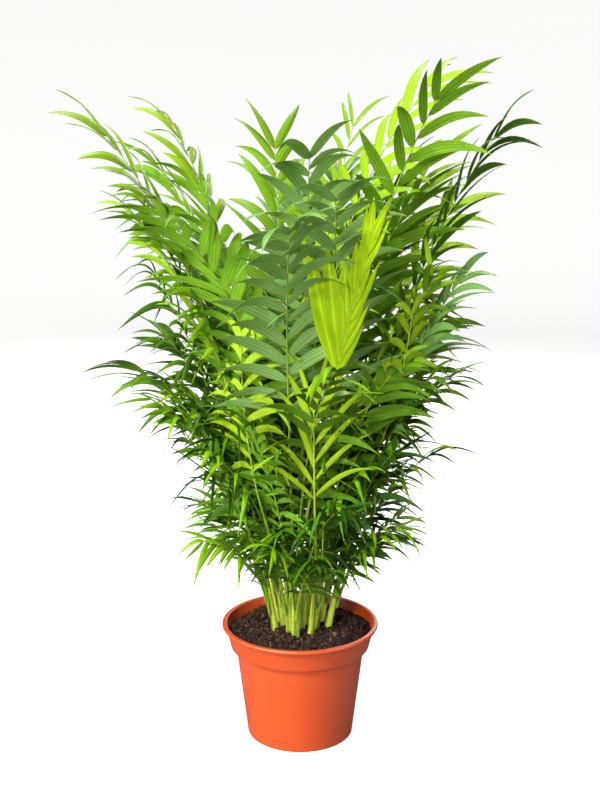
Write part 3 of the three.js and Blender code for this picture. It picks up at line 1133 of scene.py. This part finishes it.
@dataclass
class Canes:
    """The sixteen short canes, each with ring scars, lapping sheaths and a flared foot."""

    rule: GrowthRule
    sides: int = 18
    rings: int = 96
    scar_gap: float = 15.0
    scar_gap_spread: float = 0.25
    scar_drift: float = 3.0
    scar_depth: float = 0.32
    scar_width: float = 0.9
    swelling_above: float = 2.0
    swelling_width: float = 1.6
    sheath_step: float = 0.42
    sheath_place: float = 0.45
    sheath_tilt: float = 7.0
    sheath_turn: float = 2.4
    sheath_edge: float = 0.4
    foot_taper: float = 9.0
    slimness: float = 0.9
    uv_length: float = 40.0
    tip_height: float = 2.0

    GAP_ROW = 600
    SCAR_ROW = 640
    SCARS_APART = 20

    def radius(self, i: int, length: float, along: float, around: float) -> float:
        """The radius of cane i at a place on its skin.

        Args:
            i: The number of the cane.
            length: Its length in millimetres.
            along: The share of its length.
            around: The angle about it.

        Returns:
            The radius in millimetres.
        """
        vary = self.rule.vary
        base = self.rule.radius_on_stem(along)
        base += (self.rule.stem_foot_radius - self.rule.stem_radius) * math.exp(-along * self.foot_taper)
        place = along * length
        total = 0.0
        gap = self.scar_gap * (1 + self.scar_gap_spread * vary(self.GAP_ROW + i))
        for k in range(1, int(length / gap) + 2):
            centre = gap * k + self.scar_drift * vary(self.SCAR_ROW + self.SCARS_APART * i + k)
            above = place - centre
            total -= self.scar_depth * math.exp(-(above / self.scar_width) ** 2)
            swelling = (above - self.swelling_above) / self.swelling_width
            total += 0.5 * self.scar_depth * math.exp(-swelling ** 2)
            tilt = self.sheath_tilt * math.cos(around - self.sheath_turn * k - i)
            mouth = centre + gap * self.sheath_place + tilt
            step = smoothstep(place, mouth - self.sheath_edge, mouth + self.sheath_edge)
            total -= self.sheath_step / max(1.0, length / gap) * step
        fibre = 0.07 * math.sin(9 * around + 2.0 * i) + 0.05 * math.sin(17 * around + i)
        return base * self.slimness + total + fibre + self.sheath_step * 0.6

    def build(self) -> bpy.types.Object:
        """Builds the canes as one piece."""
        buffer = MeshBuffer()
        turns = tuple(k / self.sides for k in range(self.sides))
        tube = TubeFaces(self.rings, self.sides, turns)
        alongs = np.linspace(0.0, 1.0, self.rings)
        for i in range(self.rule.stems):
            line = self.rule.stem_line(i)
            length = float(np.linalg.norm(np.diff(line.points, axis=0), axis=1).sum())
            rings = []
            for along in alongs:
                at = line.at(along)
                for turn in turns:
                    around = 2 * math.pi * turn
                    out = at.normal * math.cos(around) + at.side * math.sin(around)
                    rings.append(at.point + out * self.radius(i, length, along, around))
            first, last = line.at(0.0), line.at(1.0)
            verts = np.array([first.point, *rings, last.point + last.tangent * self.tip_height])
            faces = tube.faces(alongs * length / self.uv_length)
            buffer.add(verts, faces, [np.zeros(len(f), int) for f, _ in faces])
        obj = buffer.write("canes", [CaneFinish().build()])
        LOG.info("canes: %d triangles", buffer.triangles)
        return obj

    def fit(self) -> None:
        """Builds the canes and joins them to the frame."""
        canes = self.build()
        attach(canes, BODY)
        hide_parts(*(f"stem_{i + 1:02d}" for i in range(self.rule.stems)))


# ------------------------------------------------------------------------------------------
# Pot and soil
# ------------------------------------------------------------------------------------------


@dataclass(frozen=True)
class PotShape:
    """The pot's sizes in millimetres, the same as in the solids."""

    height: float = 127.0
    lip_radius: float = 85.0
    base_radius: float = 58.0
    body_top_radius: float = 70.0
    collar_bottom_radius: float = 75.5
    collar_top_radius: float = 81.0
    collar_height: float = 27.0
    wall: float = 1.6
    floor: float = 3.0
    lip_height: float = 3.6
    step_height: float = 2.6
    drain_holes: int = 8
    drain_hole_radius: float = 5.0
    drain_hole_ring: float = 44.0
    turn: float = math.radians(2.7)

    @property
    def collar_bottom(self) -> float:
        """The height of the collar's lower edge."""
        return self.height - self.collar_height

    @property
    def lip_bottom(self) -> float:
        """The height of the lip's lower edge."""
        return self.height - self.lip_height

    def inner_radius(self, height: float) -> float:
        """The radius of the inside at a height."""
        if height > self.collar_bottom:
            up = (height - self.collar_bottom) / (self.collar_height - self.lip_height)
            return lerp(self.collar_bottom_radius, self.collar_top_radius, up) - self.wall
        return lerp(self.base_radius, self.body_top_radius, height / self.collar_bottom) - self.wall

    def profile(self) -> list[tuple[float, float, float]]:
        """The shell's corners, each with a fillet, from the middle of its underside to that of its floor."""
        collar, lip, inner = self.collar_bottom, self.lip_bottom, self.inner_radius
        return [
            (0.0, 0.0, 0.0),
            (self.base_radius - 0.3, 0.0, 2.0),
            (self.body_top_radius, collar, 0.4),
            (self.collar_bottom_radius, collar + 0.4, 1.9),
            (self.collar_top_radius, lip - 0.6, 0.9),
            (self.lip_radius, lip, 1.5),
            (self.lip_radius, self.height, 1.7),
            (self.collar_top_radius - self.wall + 0.6, self.height, 1.4),
            (inner(lip), lip, 1.2),
            (inner(collar + self.step_height), collar + self.step_height, 0.9),
            (inner(collar), collar - 1, 0.9),
            (inner(self.floor), self.floor, 2.0),
            (0.0, self.floor, 0.0),
        ]


def rounded(corners: list[tuple[float, float, float]], steps: int = 6) -> list[tuple[float, float]]:
    """Rounds the corners of an open outline.

    Args:
        corners: Points with a fillet radius each.
        steps: The number of segments in a fillet.

    Returns:
        The rounded outline.
    """
    points = [corners[0][:2]]
    for before, here, after in zip(corners, corners[1:], corners[2:]):
        p, a, b = (np.array(c[:2]) for c in (here, before, after))
        to_a, to_b = unit(a - p), unit(b - p)
        angle = math.acos(float(np.clip(to_a @ to_b, -1, 1)))
        back = here[2] / math.tan(angle / 2)
        back = min(back, 0.45 * np.linalg.norm(a - p), 0.45 * np.linalg.norm(b - p))
        start, end = p + to_a * back, p + to_b * back
        for k in range(steps + 1):
            t = k / steps
            points.append(tuple((1 - t) ** 2 * start + 2 * t * (1 - t) * p + t * t * end))
    points.append(corners[-1][:2])
    return points


def lathe(name: str, outline: list[tuple[float, float]], sides: int) -> bpy.types.Object:
    """A closed solid of revolution about Z from an outline that starts and ends on the axis.

    Args:
        name: The object's name.
        outline: Radius and height in millimetres, up the outside first.
        sides: The number of sides.

    Returns:
        The new object, shaded smooth.
    """
    rings = np.array(outline[1:-1])
    angles = np.arange(sides) * 2 * np.pi / sides
    ring = np.stack([np.cos(angles), np.sin(angles)], -1)
    body = np.concatenate([rings[:, None, :1] * ring[None], np.repeat(rings[:, None, 1:], sides, 1)], -1)
    verts = np.concatenate([[[0.0, 0.0, outline[0][1]]], body.reshape(-1, 3), [[0.0, 0.0, outline[-1][1]]]])
    lengths = np.concatenate(([0.0], np.cumsum(np.linalg.norm(np.diff(rings, axis=0), axis=1)))) + 1.0
    tube = TubeFaces(len(rings), sides, tuple(np.arange(sides) / sides))
    faces = tube.faces(lengths / lengths[-1])
    buffer = MeshBuffer()
    buffer.add(verts, faces, [np.zeros(len(f), int) for f, _ in faces])
    return buffer.write(name, [])


@dataclass
class Pot:
    """The nursery pot: a smooth turned shell with drain holes."""

    shape: PotShape = field(default_factory=PotShape)
    sides: int = 144
    drill_sides: int = 24
    drill_below: float = 4.0

    def drill(self) -> bpy.types.Object:
        """The pins that cut the drain holes, as one object."""
        shape, sides = self.shape, self.drill_sides
        verts, faces = [], []
        for k in range(shape.drain_holes):
            angle = 2 * math.pi * k / shape.drain_holes + shape.turn
            centre = heading(math.pi / 2, angle) * shape.drain_hole_ring
            first = len(verts)
            for z in (-self.drill_below, 4 * shape.floor):
                for j in range(sides):
                    rim = heading(math.pi / 2, 2 * math.pi * j / sides) * shape.drain_hole_radius
                    verts.append((centre + rim + UP * z) * MM)
            low, high = range(first, first + sides), range(first + sides, first + 2 * sides)
            faces += [(low[j], low[(j + 1) % sides], high[(j + 1) % sides], high[j]) for j in range(sides)]
            faces += [tuple(reversed(low)), tuple(high)]
        mesh = bpy.data.meshes.new("drill")
        mesh.from_pydata(verts, [], faces)
        return link(bpy.data.objects.new("drill", mesh))

    def build(self) -> bpy.types.Object:
        """Builds the shell and cuts its drain holes."""
        pot = lathe("pot_shell", rounded(self.shape.profile()), self.sides)
        cutter = self.drill()
        cut = pot.modifiers.new("holes", "BOOLEAN")
        cut.object, cut.solver = cutter, "EXACT"
        keep_result(pot, cut)
        bpy.data.objects.remove(cutter)
        pot.data.materials.clear()
        pot.data.materials.append(PotFinish().build())
        LOG.info("pot_shell: %d faces", len(pot.data.polygons))
        return pot

    def fit(self) -> None:
        """Builds the pot and joins it to the frame."""
        pot = self.build()
        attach(pot, BODY)
        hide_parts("pot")


class ScatterTree(GeometryTree):
    """Strews copies of a shape over the parts of a mesh that face up."""

    NAME = "strewn_on_top"
    INPUTS = {"Density": ("Float", 1e5), "Smallest": ("Float", 0.001), "Largest": ("Float", 0.003),
              "Reach": ("Float", 0.07), "Seed": ("Int", 1), "Tumble": ("Float", 1.0),
              "Shapes": ("Collection", None)}
    SPIN_SEED = 5

    @classmethod
    def shape(cls, t: NodeTools, given: Any) -> bpy.types.NodeSocket:
        """The strewn copies."""
        normal = t.add("GeometryNodeInputNormal").outputs[0]
        up = t.add("ShaderNodeSeparateXYZ", {0: normal}).outputs[2]
        flat = t.stretch(t.add("GeometryNodeInputPosition").outputs[0], (1.0, 1.0, 0.0))
        away = t.add("ShaderNodeVectorMath", {0: flat}, operation="LENGTH").outputs["Value"]
        near = t.math("LESS_THAN", away, given["Reach"])
        top = t.math("MULTIPLY", t.math("GREATER_THAN", up, 0.5), near)
        points = t.add("GeometryNodeDistributePointsOnFaces", {
            "Mesh": given["Geometry"], "Selection": top, "Density": given["Density"], "Seed": given["Seed"]})
        size = t.add("FunctionNodeRandomValue", {
            "Min_001": given["Smallest"], "Max_001": given["Largest"], "Seed": given["Seed"]},
            data_type="FLOAT")
        size = next(s for s in size.outputs if s.identifier == "Value_001")
        spin = t.add("FunctionNodeRandomValue", {
            "Min": (-math.pi,) * 3, "Max": (math.pi,) * 3, "Seed": cls.SPIN_SEED}, data_type="FLOAT_VECTOR")
        tumble = {"X": given["Tumble"], "Y": given["Tumble"], "Z": 1.0}
        tumble = t.add("ShaderNodeCombineXYZ", tumble).outputs[0]
        turn = t.add("FunctionNodeRotateRotation", {
            "Rotation": points.outputs["Rotation"], "Rotate By": t.stretch(spin.outputs[0], tumble)},
            rotation_space="LOCAL").outputs[0]
        shapes = t.add("GeometryNodeCollectionInfo", {
            "Collection": given["Shapes"], "Separate Children": True, "Reset Children": True}).outputs[0]
        return t.add("GeometryNodeInstanceOnPoints", {
            "Points": points.outputs["Points"], "Instance": shapes, "Pick Instance": True, "Rotation": turn,
            "Scale": size}).outputs[0]


@dataclass(frozen=True)
class Litter:
    """Loose bits on the soil: their piece's name, how many lie on a square metre and their sizes.

    The seed is that of their places, and tumble is how far they tip, from 0, flat, to 1, any way.
    """

    name: str
    density: float
    sizes: tuple[float, float]
    seed: int
    tumble: float


@dataclass
class Soil:
    """The soil: a lumpy plug that fills the pot, with loose crumbs and pale fibres on top."""

    shape: PotShape = field(default_factory=PotShape)
    top: float = 119.5
    fall: float = 2.5
    level_radius: float = 52.0
    gap: float = 0.6
    floor_gap: float = 0.3
    step_top: float = 2.9
    sides: int = 120
    top_rings: int = 44
    lump_height: float = 2.4
    lump_span: float = 13.0
    swell_height: float = 1.2
    swell_span: float = 31.0
    sunk: float = 0.6
    lumpiness: float = 0.55

    def height_at(self, x: float, y: float, radius: float) -> float:
        """The height of the soil's surface over a place, in millimetres."""
        edge = float(smoothstep(radius, self.level_radius, self.shape.inner_radius(self.top)))
        rough = noise.fractal(Vector((x / self.lump_span, y / self.lump_span, 3.7)), 0.6, 2.1, 4)
        broad = noise.noise(Vector((x / self.swell_span, y / self.swell_span, 8.1)))
        uneven = self.lump_height * rough
        return self.top - self.fall * edge + uneven + self.swell_height * broad - self.sunk

    def fill_radius(self, height: float) -> float:
        """The soil's radius at a height, clear of the pot's wall."""
        return self.shape.inner_radius(height) - self.gap

    def plug(self) -> bpy.types.Object:
        """Builds the plug with its uneven top."""
        fill, bottom, collar = self.fill_radius, self.shape.floor + self.floor_gap, self.shape.collar_bottom
        edge_top = self.top - self.fall
        below = [(0.0, bottom), (fill(self.shape.floor), bottom), (fill(collar), collar - 1),
                 (fill(collar + self.shape.step_height), collar + self.step_top),
                 (fill(edge_top), edge_top - 2.0)]
        rim, count = fill(edge_top), self.top_rings
        outline = below + [(rim * (1 - k / count), edge_top) for k in range(count)] + [(0.0, self.top)]
        plug = lathe("soil_bed", outline, self.sides)
        for vertex in plug.data.vertices:
            x, y, z = (c / MM for c in vertex.co)
            if z > edge_top - 1.0:
                vertex.co.z = self.height_at(x, y, math.hypot(x, y)) * MM
        finish = SoilFinish("soil_dark", (0.006, 0.003, 0.002), (0.035, 0.019, 0.012))
        plug.data.materials.append(finish.build())
        return plug

    def shapes(self, name: str, stretch: XYZ, count: int, seed: int) -> bpy.types.Collection:
        """A few uneven lumps to strew, each of unit size.

        Args:
            name: The collection's name.
            stretch: How the lumps are drawn out along each axis.
            count: How many different lumps there are.
            seed: The start of their noise.

        Returns:
            The collection, which isn't in the scene.
        """
        collection = bpy.data.collections.new(name)
        for k in range(count):
            mesh = bpy.data.meshes.new(f"{name}_{k}")
            verts, faces = icosahedron()
            out = []
            for v in verts:
                wobble = 1 + self.lumpiness * noise.noise(v * 1.7 + Vector((seed + 3.1 * k, 0, 0)))
                out.append([c * s * wobble for c, s in zip(v, stretch)])
            mesh.from_pydata(out, [], faces)
            collection.objects.link(bpy.data.objects.new(mesh.name, mesh))
        return collection

    def strew(self, litter: Litter, bed: bpy.types.Object, shapes: bpy.types.Collection,
              material: bpy.types.Material) -> bpy.types.Object:
        """Strews one kind of bits over the bed.

        Args:
            litter: How they lie.
            bed: The soil's plug.
            shapes: The shapes that they have.
            material: Their material.

        Returns:
            The new piece.
        """
        smallest, largest = litter.sizes
        piece = link(bpy.data.objects.new(litter.name, bed.data.copy()))
        run_tree(piece, ScatterTree.tree(), {
            "Density": litter.density, "Smallest": smallest * MM, "Largest": largest * MM,
            "Reach": (self.fill_radius(self.top) - largest) * MM, "Seed": litter.seed,
            "Tumble": litter.tumble, "Shapes": shapes, "Material": material})
        LOG.info("%s: %d faces", piece.name, len(piece.data.polygons))
        return piece

    def fit(self) -> None:
        """Builds the soil's pieces and joins them to the frame."""
        bed = self.plug()
        lumps = self.shapes("crumb_shapes", (1.0, 0.85, 0.7), 5, 11)
        chips = self.shapes("fibre_shapes", (1.0, 0.13, 0.09), 4, 37)
        crumb = SoilFinish("soil_crumb", (0.003, 0.0015, 0.001), (0.105, 0.047, 0.027)).build()
        fibre = SoilFinish("soil_fibre", (0.12, 0.06, 0.032), (0.34, 0.20, 0.11)).build()
        crumbs = self.strew(Litter("soil_crumbs", 1.1e5, (0.7, 3.0), 3, 1.0), bed, lumps, crumb)
        clods = self.strew(Litter("soil_clods", 2.0e4, (2.4, 5.8), 5, 1.0), bed, lumps, crumb)
        fibres = self.strew(Litter("soil_fibres", 4.6e4, (1.8, 7.5), 9, 0.35), bed, chips, fibre)
        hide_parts("soil")
        for piece in (bed, crumbs, clods, fibres):
            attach(piece, BODY)


def icosahedron() -> tuple[list[Vector], list[tuple[int, int, int]]]:
    """The corners and faces of an icosahedron of radius one."""
    g = (1 + math.sqrt(5)) / 2
    verts = [Vector(v).normalized() for v in (
        (-1, g, 0), (1, g, 0), (-1, -g, 0), (1, -g, 0), (0, -1, g), (0, 1, g), (0, -1, -g), (0, 1, -g),
        (g, 0, -1), (g, 0, 1), (-g, 0, -1), (-g, 0, 1))]
    faces = [(0, 11, 5), (0, 5, 1), (0, 1, 7), (0, 7, 10), (0, 10, 11), (1, 5, 9), (5, 11, 4), (11, 10, 2),
             (10, 7, 6), (7, 1, 8), (3, 9, 4), (3, 4, 2), (3, 2, 6), (3, 6, 8), (3, 8, 9), (4, 9, 5),
             (2, 4, 11), (6, 2, 10), (8, 6, 7), (9, 8, 1)]
    return verts, faces


# ------------------------------------------------------------------------------------------
# The crown
# ------------------------------------------------------------------------------------------


ALL_STEMS = tuple(range(16))
OUTER_STEMS = tuple(range(6, 16))

CANOPY = Habit("canopy", 0, ALL_STEMS, rise=1, fan=80, length=475, outer_loss=40, slope_from=0,
               slope_to=40, bend=2, petiole=0.44, rib_radius=1.7, pairs=12, leaflet=98, width=12.0,
               angles=(56, 26), droop=0.38, sickle=0.08, twist=26, curl=0.13, disorder=0.95)
CANOPY_TWO = replace(CANOPY, key=3, stems=(0, 1, 3, 4, 6, 8, 9, 11, 13, 14), rise=0.92, fan=170,
                     length=405, slope_from=3, slope_to=29, leaflet=84, width=11, rib_radius=1.5)
CANOPY_THREE = replace(CANOPY_TWO, key=13, stems=(1, 4, 6, 8, 9, 12, 13, 14), rise=0.88, fan=180,
                       length=390, slope_to=26, leaflet=80, width=6.8, droop=0.75, lift=0.35,
                       disorder=1.3)
MIDDLE = Habit("middle", 1, ALL_STEMS, rise=0.8, fan=100, length=300, outer_loss=30, slope_from=3,
               slope_to=44, bend=1.8, petiole=0.34, rib_radius=1.5, pairs=12, leaflet=72, width=9.2,
               droop=0.45, twist=28, curl=0.1, disorder=1.3)
MIDDLE_TWO = replace(MIDDLE, key=4, rise=0.62, fan=180, length=265, slope_from=4, slope_to=44,
                     leaflet=62, width=7.0)
LOW = replace(MIDDLE, name="low", key=5, rise=0.3, fan=150, length=205, outer_loss=10, slope_from=5,
              slope_to=50, bend=1.6, rib_radius=1.2, pairs=10, leaflet=56, width=5.9, droop=0.62,
              sickle=0.14, lift=0.3, curl=0.12, disorder=1.7)
LOW_TWO = replace(LOW, key=6, stems=(0, 1, *range(3, 15)), rise=0.5, fan=180, length=220, slope_to=46)
LOW_THREE = replace(LOW, key=12, stems=(*range(10), *range(11, 15)), rise=0.9, fan=180, length=245,
                    slope_to=42, leaflet=52, width=5.8)
SKIRT = Habit("skirt", 2, OUTER_STEMS, rise=0.45, fan=60, length=120, outer_loss=0, slope_from=8,
              slope_to=64, bend=1.3, petiole=0.34, rib_radius=1.1, pairs=9, leaflet=47, width=5.2,
              droop=0.46, curl=0.1, disorder=1.4)
SKIRT_TWO = replace(SKIRT, key=7, stems=tuple(range(2, 16)), rise=0.3, fan=180, length=125,
                    slope_from=9, slope_to=62)
YOUNG = replace(MIDDLE, name="young", key=8, stems=(10,), rise=0.95, length=200, outer_loss=0,
                slope_from=34, slope_to=-14, bend=0.8, angles=(36, 17), petiole=0.56, rib_radius=2.1,
                pairs=6, leaflet=98, width=6.0, droop=0.2, sickle=-0.1, end_length=0.8, turn=-92,
                roll=0.0, twist=12, curl=0.08, lift=0.15, disorder=1.0)
YOUNG_TALL = replace(YOUNG, key=10, stems=(3, 11), length=440, slope_from=-9, slope_to=14, bend=1.8,
                     petiole=0.6, pairs=9, angles=(46, 18), turn=60, leaflet=80, droop=0.3)
YOUNG_ARCHING = replace(MIDDLE, name="young_arching", key=11, stems=(7, 5), rise=0.9, length=300,
                        outer_loss=0, slope_from=20, slope_to=2, pairs=9, leaflet=68, width=7.6,
                        droop=0.8, lift=0.5, fan=10, twist=14, curl=0.06, petiole=0.5, disorder=0.9)
SPEAR = replace(CANOPY, name="spear", key=9, stems=(15,), rise=0.9, length=440, outer_loss=0,
                slope_from=4, slope_to=18, bend=1.2, angles=(15, 7), petiole=0.62, pairs=9, leaflet=66,
                width=8, droop=0.0, end_length=0.6, turn=-56, roll=-50.0, pleats=4, twist=12, fold=0.1,
                lift=0.05, curl=0.0, hands=(1,), disorder=0.6)
SPEAR_LEFT = replace(SPEAR, name="spear_left", hands=(-1,), blade=(0.0, 0.2), pairs=3, leaflet=126,
                     width=18, angles=(24, 12), fullest=(0.5, 0.85), end_length=0.45, club=1.5, twist=3,
                     disorder=0.2)
SPEAR_UPPER = replace(SPEAR, name="spear_upper", hands=(-1,), blade=(0.26, 1.0), pairs=8, leaflet=56,
                      width=9, angles=(16, 8), club=1.3)


def solids_of(kind: str, stems: Iterable[int]) -> tuple[str, ...]:
    """The names of the CAD nodes of one kind on the given stems."""
    return tuple(f"{kind}_{i + 1:02d}" for i in stems)


def make_crown(rule: GrowthRule) -> list[Foliage]:
    """The kinds of frond that make the crown, from the top down.

    Args:
        rule: The rule by which they grow.

    Returns:
        The kinds, not yet built.
    """
    return [
        Foliage("canopy", "canopy_frond", [CANOPY, CANOPY_TWO, CANOPY_THREE],
                # The third canopy tone, upper and under, is grey-green: partly the leaf's own colour, partly
                # a painted sheen that puts the sky's reflection on the waxy blade into the base colour. The
                # under sides are paler: partly the real paler under side, partly painted light that lifts
                # under sides seen in shade.
                [(0.05, 0.125, 0.006), (0.15, 0.30, 0.005), (0.13, 0.28, 0.06), (0.23, 0.40, 0.005)],
                [(0.085, 0.21, 0.008), (0.17, 0.36, 0.015), (0.26, 0.45, 0.12), (0.24, 0.44, 0.012)],
                (0.26, 0.40, 0.04), rule, gloss=0.3, glow=0.3, solids=solids_of("canopy_frond", ALL_STEMS)),
        # The middle, low and skirt tiers take very dark first tones and dark under sides: partly the older
        # leaves' deeper green, partly painted shade for the shade deep in the lower crown.
        Foliage("middle", "middle_frond", [MIDDLE, MIDDLE_TWO],
                [(0.028, 0.09, 0.001), (0.08, 0.20, 0.003), (0.20, 0.39, 0.005)],
                [(0.10, 0.23, 0.008)], (0.27, 0.40, 0.035), rule, gloss=0.3, glow=0.2,
                solids=solids_of("middle_frond", ALL_STEMS)),
        Foliage("low", "middle_frond", [LOW, LOW_TWO, LOW_THREE],
                [(0.014, 0.055, 0.001), (0.055, 0.165, 0.001), (0.17, 0.36, 0.003)],
                [(0.035, 0.11, 0.002)], (0.24, 0.37, 0.03), rule, roughness=0.36,
                gloss=0.35, glow=0.12),
        Foliage("skirt", "skirt_frond", [SKIRT, SKIRT_TWO],
                [(0.018, 0.065, 0.001), (0.06, 0.17, 0.001), (0.17, 0.35, 0.003)],
                [(0.045, 0.13, 0.003)], (0.24, 0.37, 0.03), rule, roughness=0.36, gloss=0.35, glow=0.12,
                solids=solids_of("skirt_frond", OUTER_STEMS)),
        Foliage("young", "canopy_frond", [YOUNG, YOUNG_TALL, YOUNG_ARCHING],
                [(0.16, 0.29, 0.005), (0.21, 0.37, 0.004)], [(0.24, 0.37, 0.006)], (0.36, 0.50, 0.04), rule,
                roughness=0.36, gloss=0.3, glow=0.2),
        Foliage("spear", "canopy_frond", [SPEAR, SPEAR_LEFT, SPEAR_UPPER],
                [(0.33, 0.53, 0.002)], [(0.30, 0.47, 0.003)], (0.40, 0.52, 0.02), rule, roughness=0.36,
                gloss=0.3, glow=0.25, veins=2.0),
    ]


# ------------------------------------------------------------------------------------------
# Studio
# ------------------------------------------------------------------------------------------


@dataclass(frozen=True)
class Softbox:
    """An area light: its place, what it looks at, its size, its power and the degrees it spreads over."""

    name: str
    place: XYZ
    target: XYZ
    size: float
    power: float
    spread: float = 180.0

    def build(self) -> None:
        """Adds the light."""
        light = bpy.data.lights.new(self.name, "AREA")
        light.shape, light.size, light.energy = "DISK", self.size, self.power
        light.spread = math.radians(self.spread)
        obj = link(bpy.data.objects.new(self.name, light))
        obj.location = self.place
        obj.rotation_euler = (Vector(self.target) - Vector(self.place)).to_track_quat("-Z", "Y").to_euler()


@dataclass(frozen=True)
class Studio:
    """A pale floor that sweeps up all round, soft lights and the camera."""

    floor_radius: float = 3.0
    sweep_radius: float = 1.6
    sweep_height: float = 3.2
    floor_steps: int = 4
    sweep_steps: int = 12
    sides: int = 96
    paper_seen: RGB = (0.88, 0.88, 0.87)
    paper_unseen: RGB = (0.13, 0.13, 0.13)
    paper_glow: float = 0.6
    air: float = 0.05
    camera_place: XYZ = (0.0, -1.214, 0.627)
    camera_pitch: float = -11.8
    field_of_view: float = 37.5
    lights: tuple[Softbox, ...] = (
        Softbox("key", (-1.3, -1.7, 2.2), (0.0, 0.0, 0.4), 0.35, 92.0),
        Softbox("side", (-1.8, -1.1, 0.75), (0.0, 0.0, 0.15), 0.9, 32.0),
        Softbox("fill", (2.0, -1.4, 0.9), (0.0, 0.0, 0.35), 1.0, 9.0),
        Softbox("rear", (0.7, 2.2, 1.1), (0.0, 0.0, 0.4), 0.8, 16.0),
        Softbox("front", (-0.8, -2.1, 1.2), (0.0, 0.0, 0.5), 0.45, 44.0),
        Softbox("top", (0.3, 0.9, 2.6), (0.0, 0.0, 0.4), 0.5, 38.0),
        Softbox("pot_left", (-1.5, -1.1, 0.06), (0.0, 0.0, 0.06), 0.25, 0.15, 24.0),
        Softbox("pot_right", (1.6, -0.9, 0.25), (0.0, 0.0, 0.06), 0.4, 0.15, 24.0),
    )

    def floor(self) -> None:
        """Builds the floor with its sweep."""
        outline = [(self.floor_radius * k / self.floor_steps, 0.0) for k in range(self.floor_steps + 1)]
        for k in range(1, self.sweep_steps + 1):
            a = math.pi / 2 * k / self.sweep_steps
            outline.append((self.floor_radius + self.sweep_radius * math.sin(a),
                            self.sweep_radius * (1 - math.cos(a))))
        outline.append((self.floor_radius + self.sweep_radius, self.sweep_height))
        sides = self.sides
        verts = [(0.0, 0.0, 0.0)]
        for r, z in outline[1:]:
            verts += [(r * math.cos(2 * math.pi * j / sides), r * math.sin(2 * math.pi * j / sides), z)
                      for j in range(sides)]
        faces: list[tuple[int, ...]] = [(0, 1 + j, 1 + (j + 1) % sides) for j in range(sides)]
        for ring in range(len(outline) - 2):
            a, b = 1 + ring * sides, 1 + (ring + 1) * sides
            faces += [(a + j, b + j, b + (j + 1) % sides, a + (j + 1) % sides) for j in range(sides)]
        mesh = bpy.data.meshes.new("studio_floor")
        mesh.from_pydata(verts, [], faces)
        mesh.polygons.foreach_set("use_smooth", [True] * len(mesh.polygons))
        material, t, shader = new_material("studio_paper")
        seen = t.add("ShaderNodeLightPath").outputs["Is Camera Ray"]
        t.set(shader, "Base Color", t.mix(seen, self.paper_unseen, self.paper_seen))
        t.set(shader, "Emission Color", (1.0, 1.0, 1.0))
        t.set(shader, "Emission Strength", t.math("MULTIPLY", seen, self.paper_glow))
        shader.inputs["Roughness"].default_value = 0.9
        mesh.materials.append(material)
        link(bpy.data.objects.new("studio_floor", mesh))

    def world(self) -> None:
        """Sets an even white surround."""
        world = bpy.data.worlds.new("studio_air")
        world.use_nodes = True
        background = world.node_tree.nodes["Background"]
        background.inputs[0].default_value = (1.0, 1.0, 1.0, 1.0)
        background.inputs[1].default_value = self.air
        bpy.context.scene.world = world
        bpy.context.scene.view_settings.view_transform = "Standard"

    def camera(self) -> None:
        """Adds the camera."""
        data = bpy.data.cameras.new("camera")
        data.sensor_fit = "VERTICAL"
        data.sensor_height = 36.0
        data.lens = data.sensor_height / 2 / math.tan(math.radians(self.field_of_view / 2))
        obj = link(bpy.data.objects.new("camera", data))
        obj.location = self.camera_place
        obj.rotation_euler = (math.radians(90 + self.camera_pitch), 0.0, 0.0)
        bpy.context.scene.camera = obj

    def build(self) -> None:
        """Builds floor, surround, lights and camera."""
        self.floor()
        self.world()
        self.camera()
        for light in self.lights:
            light.build()


def main() -> None:
    """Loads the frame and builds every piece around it."""
    logging.basicConfig(level=logging.INFO, format="%(name)s: %(message)s")
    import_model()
    rule = GrowthRule()
    Pot().fit()
    Soil().fit()
    Canes(rule).fit()
    for foliage in make_crown(rule):
        foliage.fit()
    Studio().build()


if __name__ == "__main__":
    main()
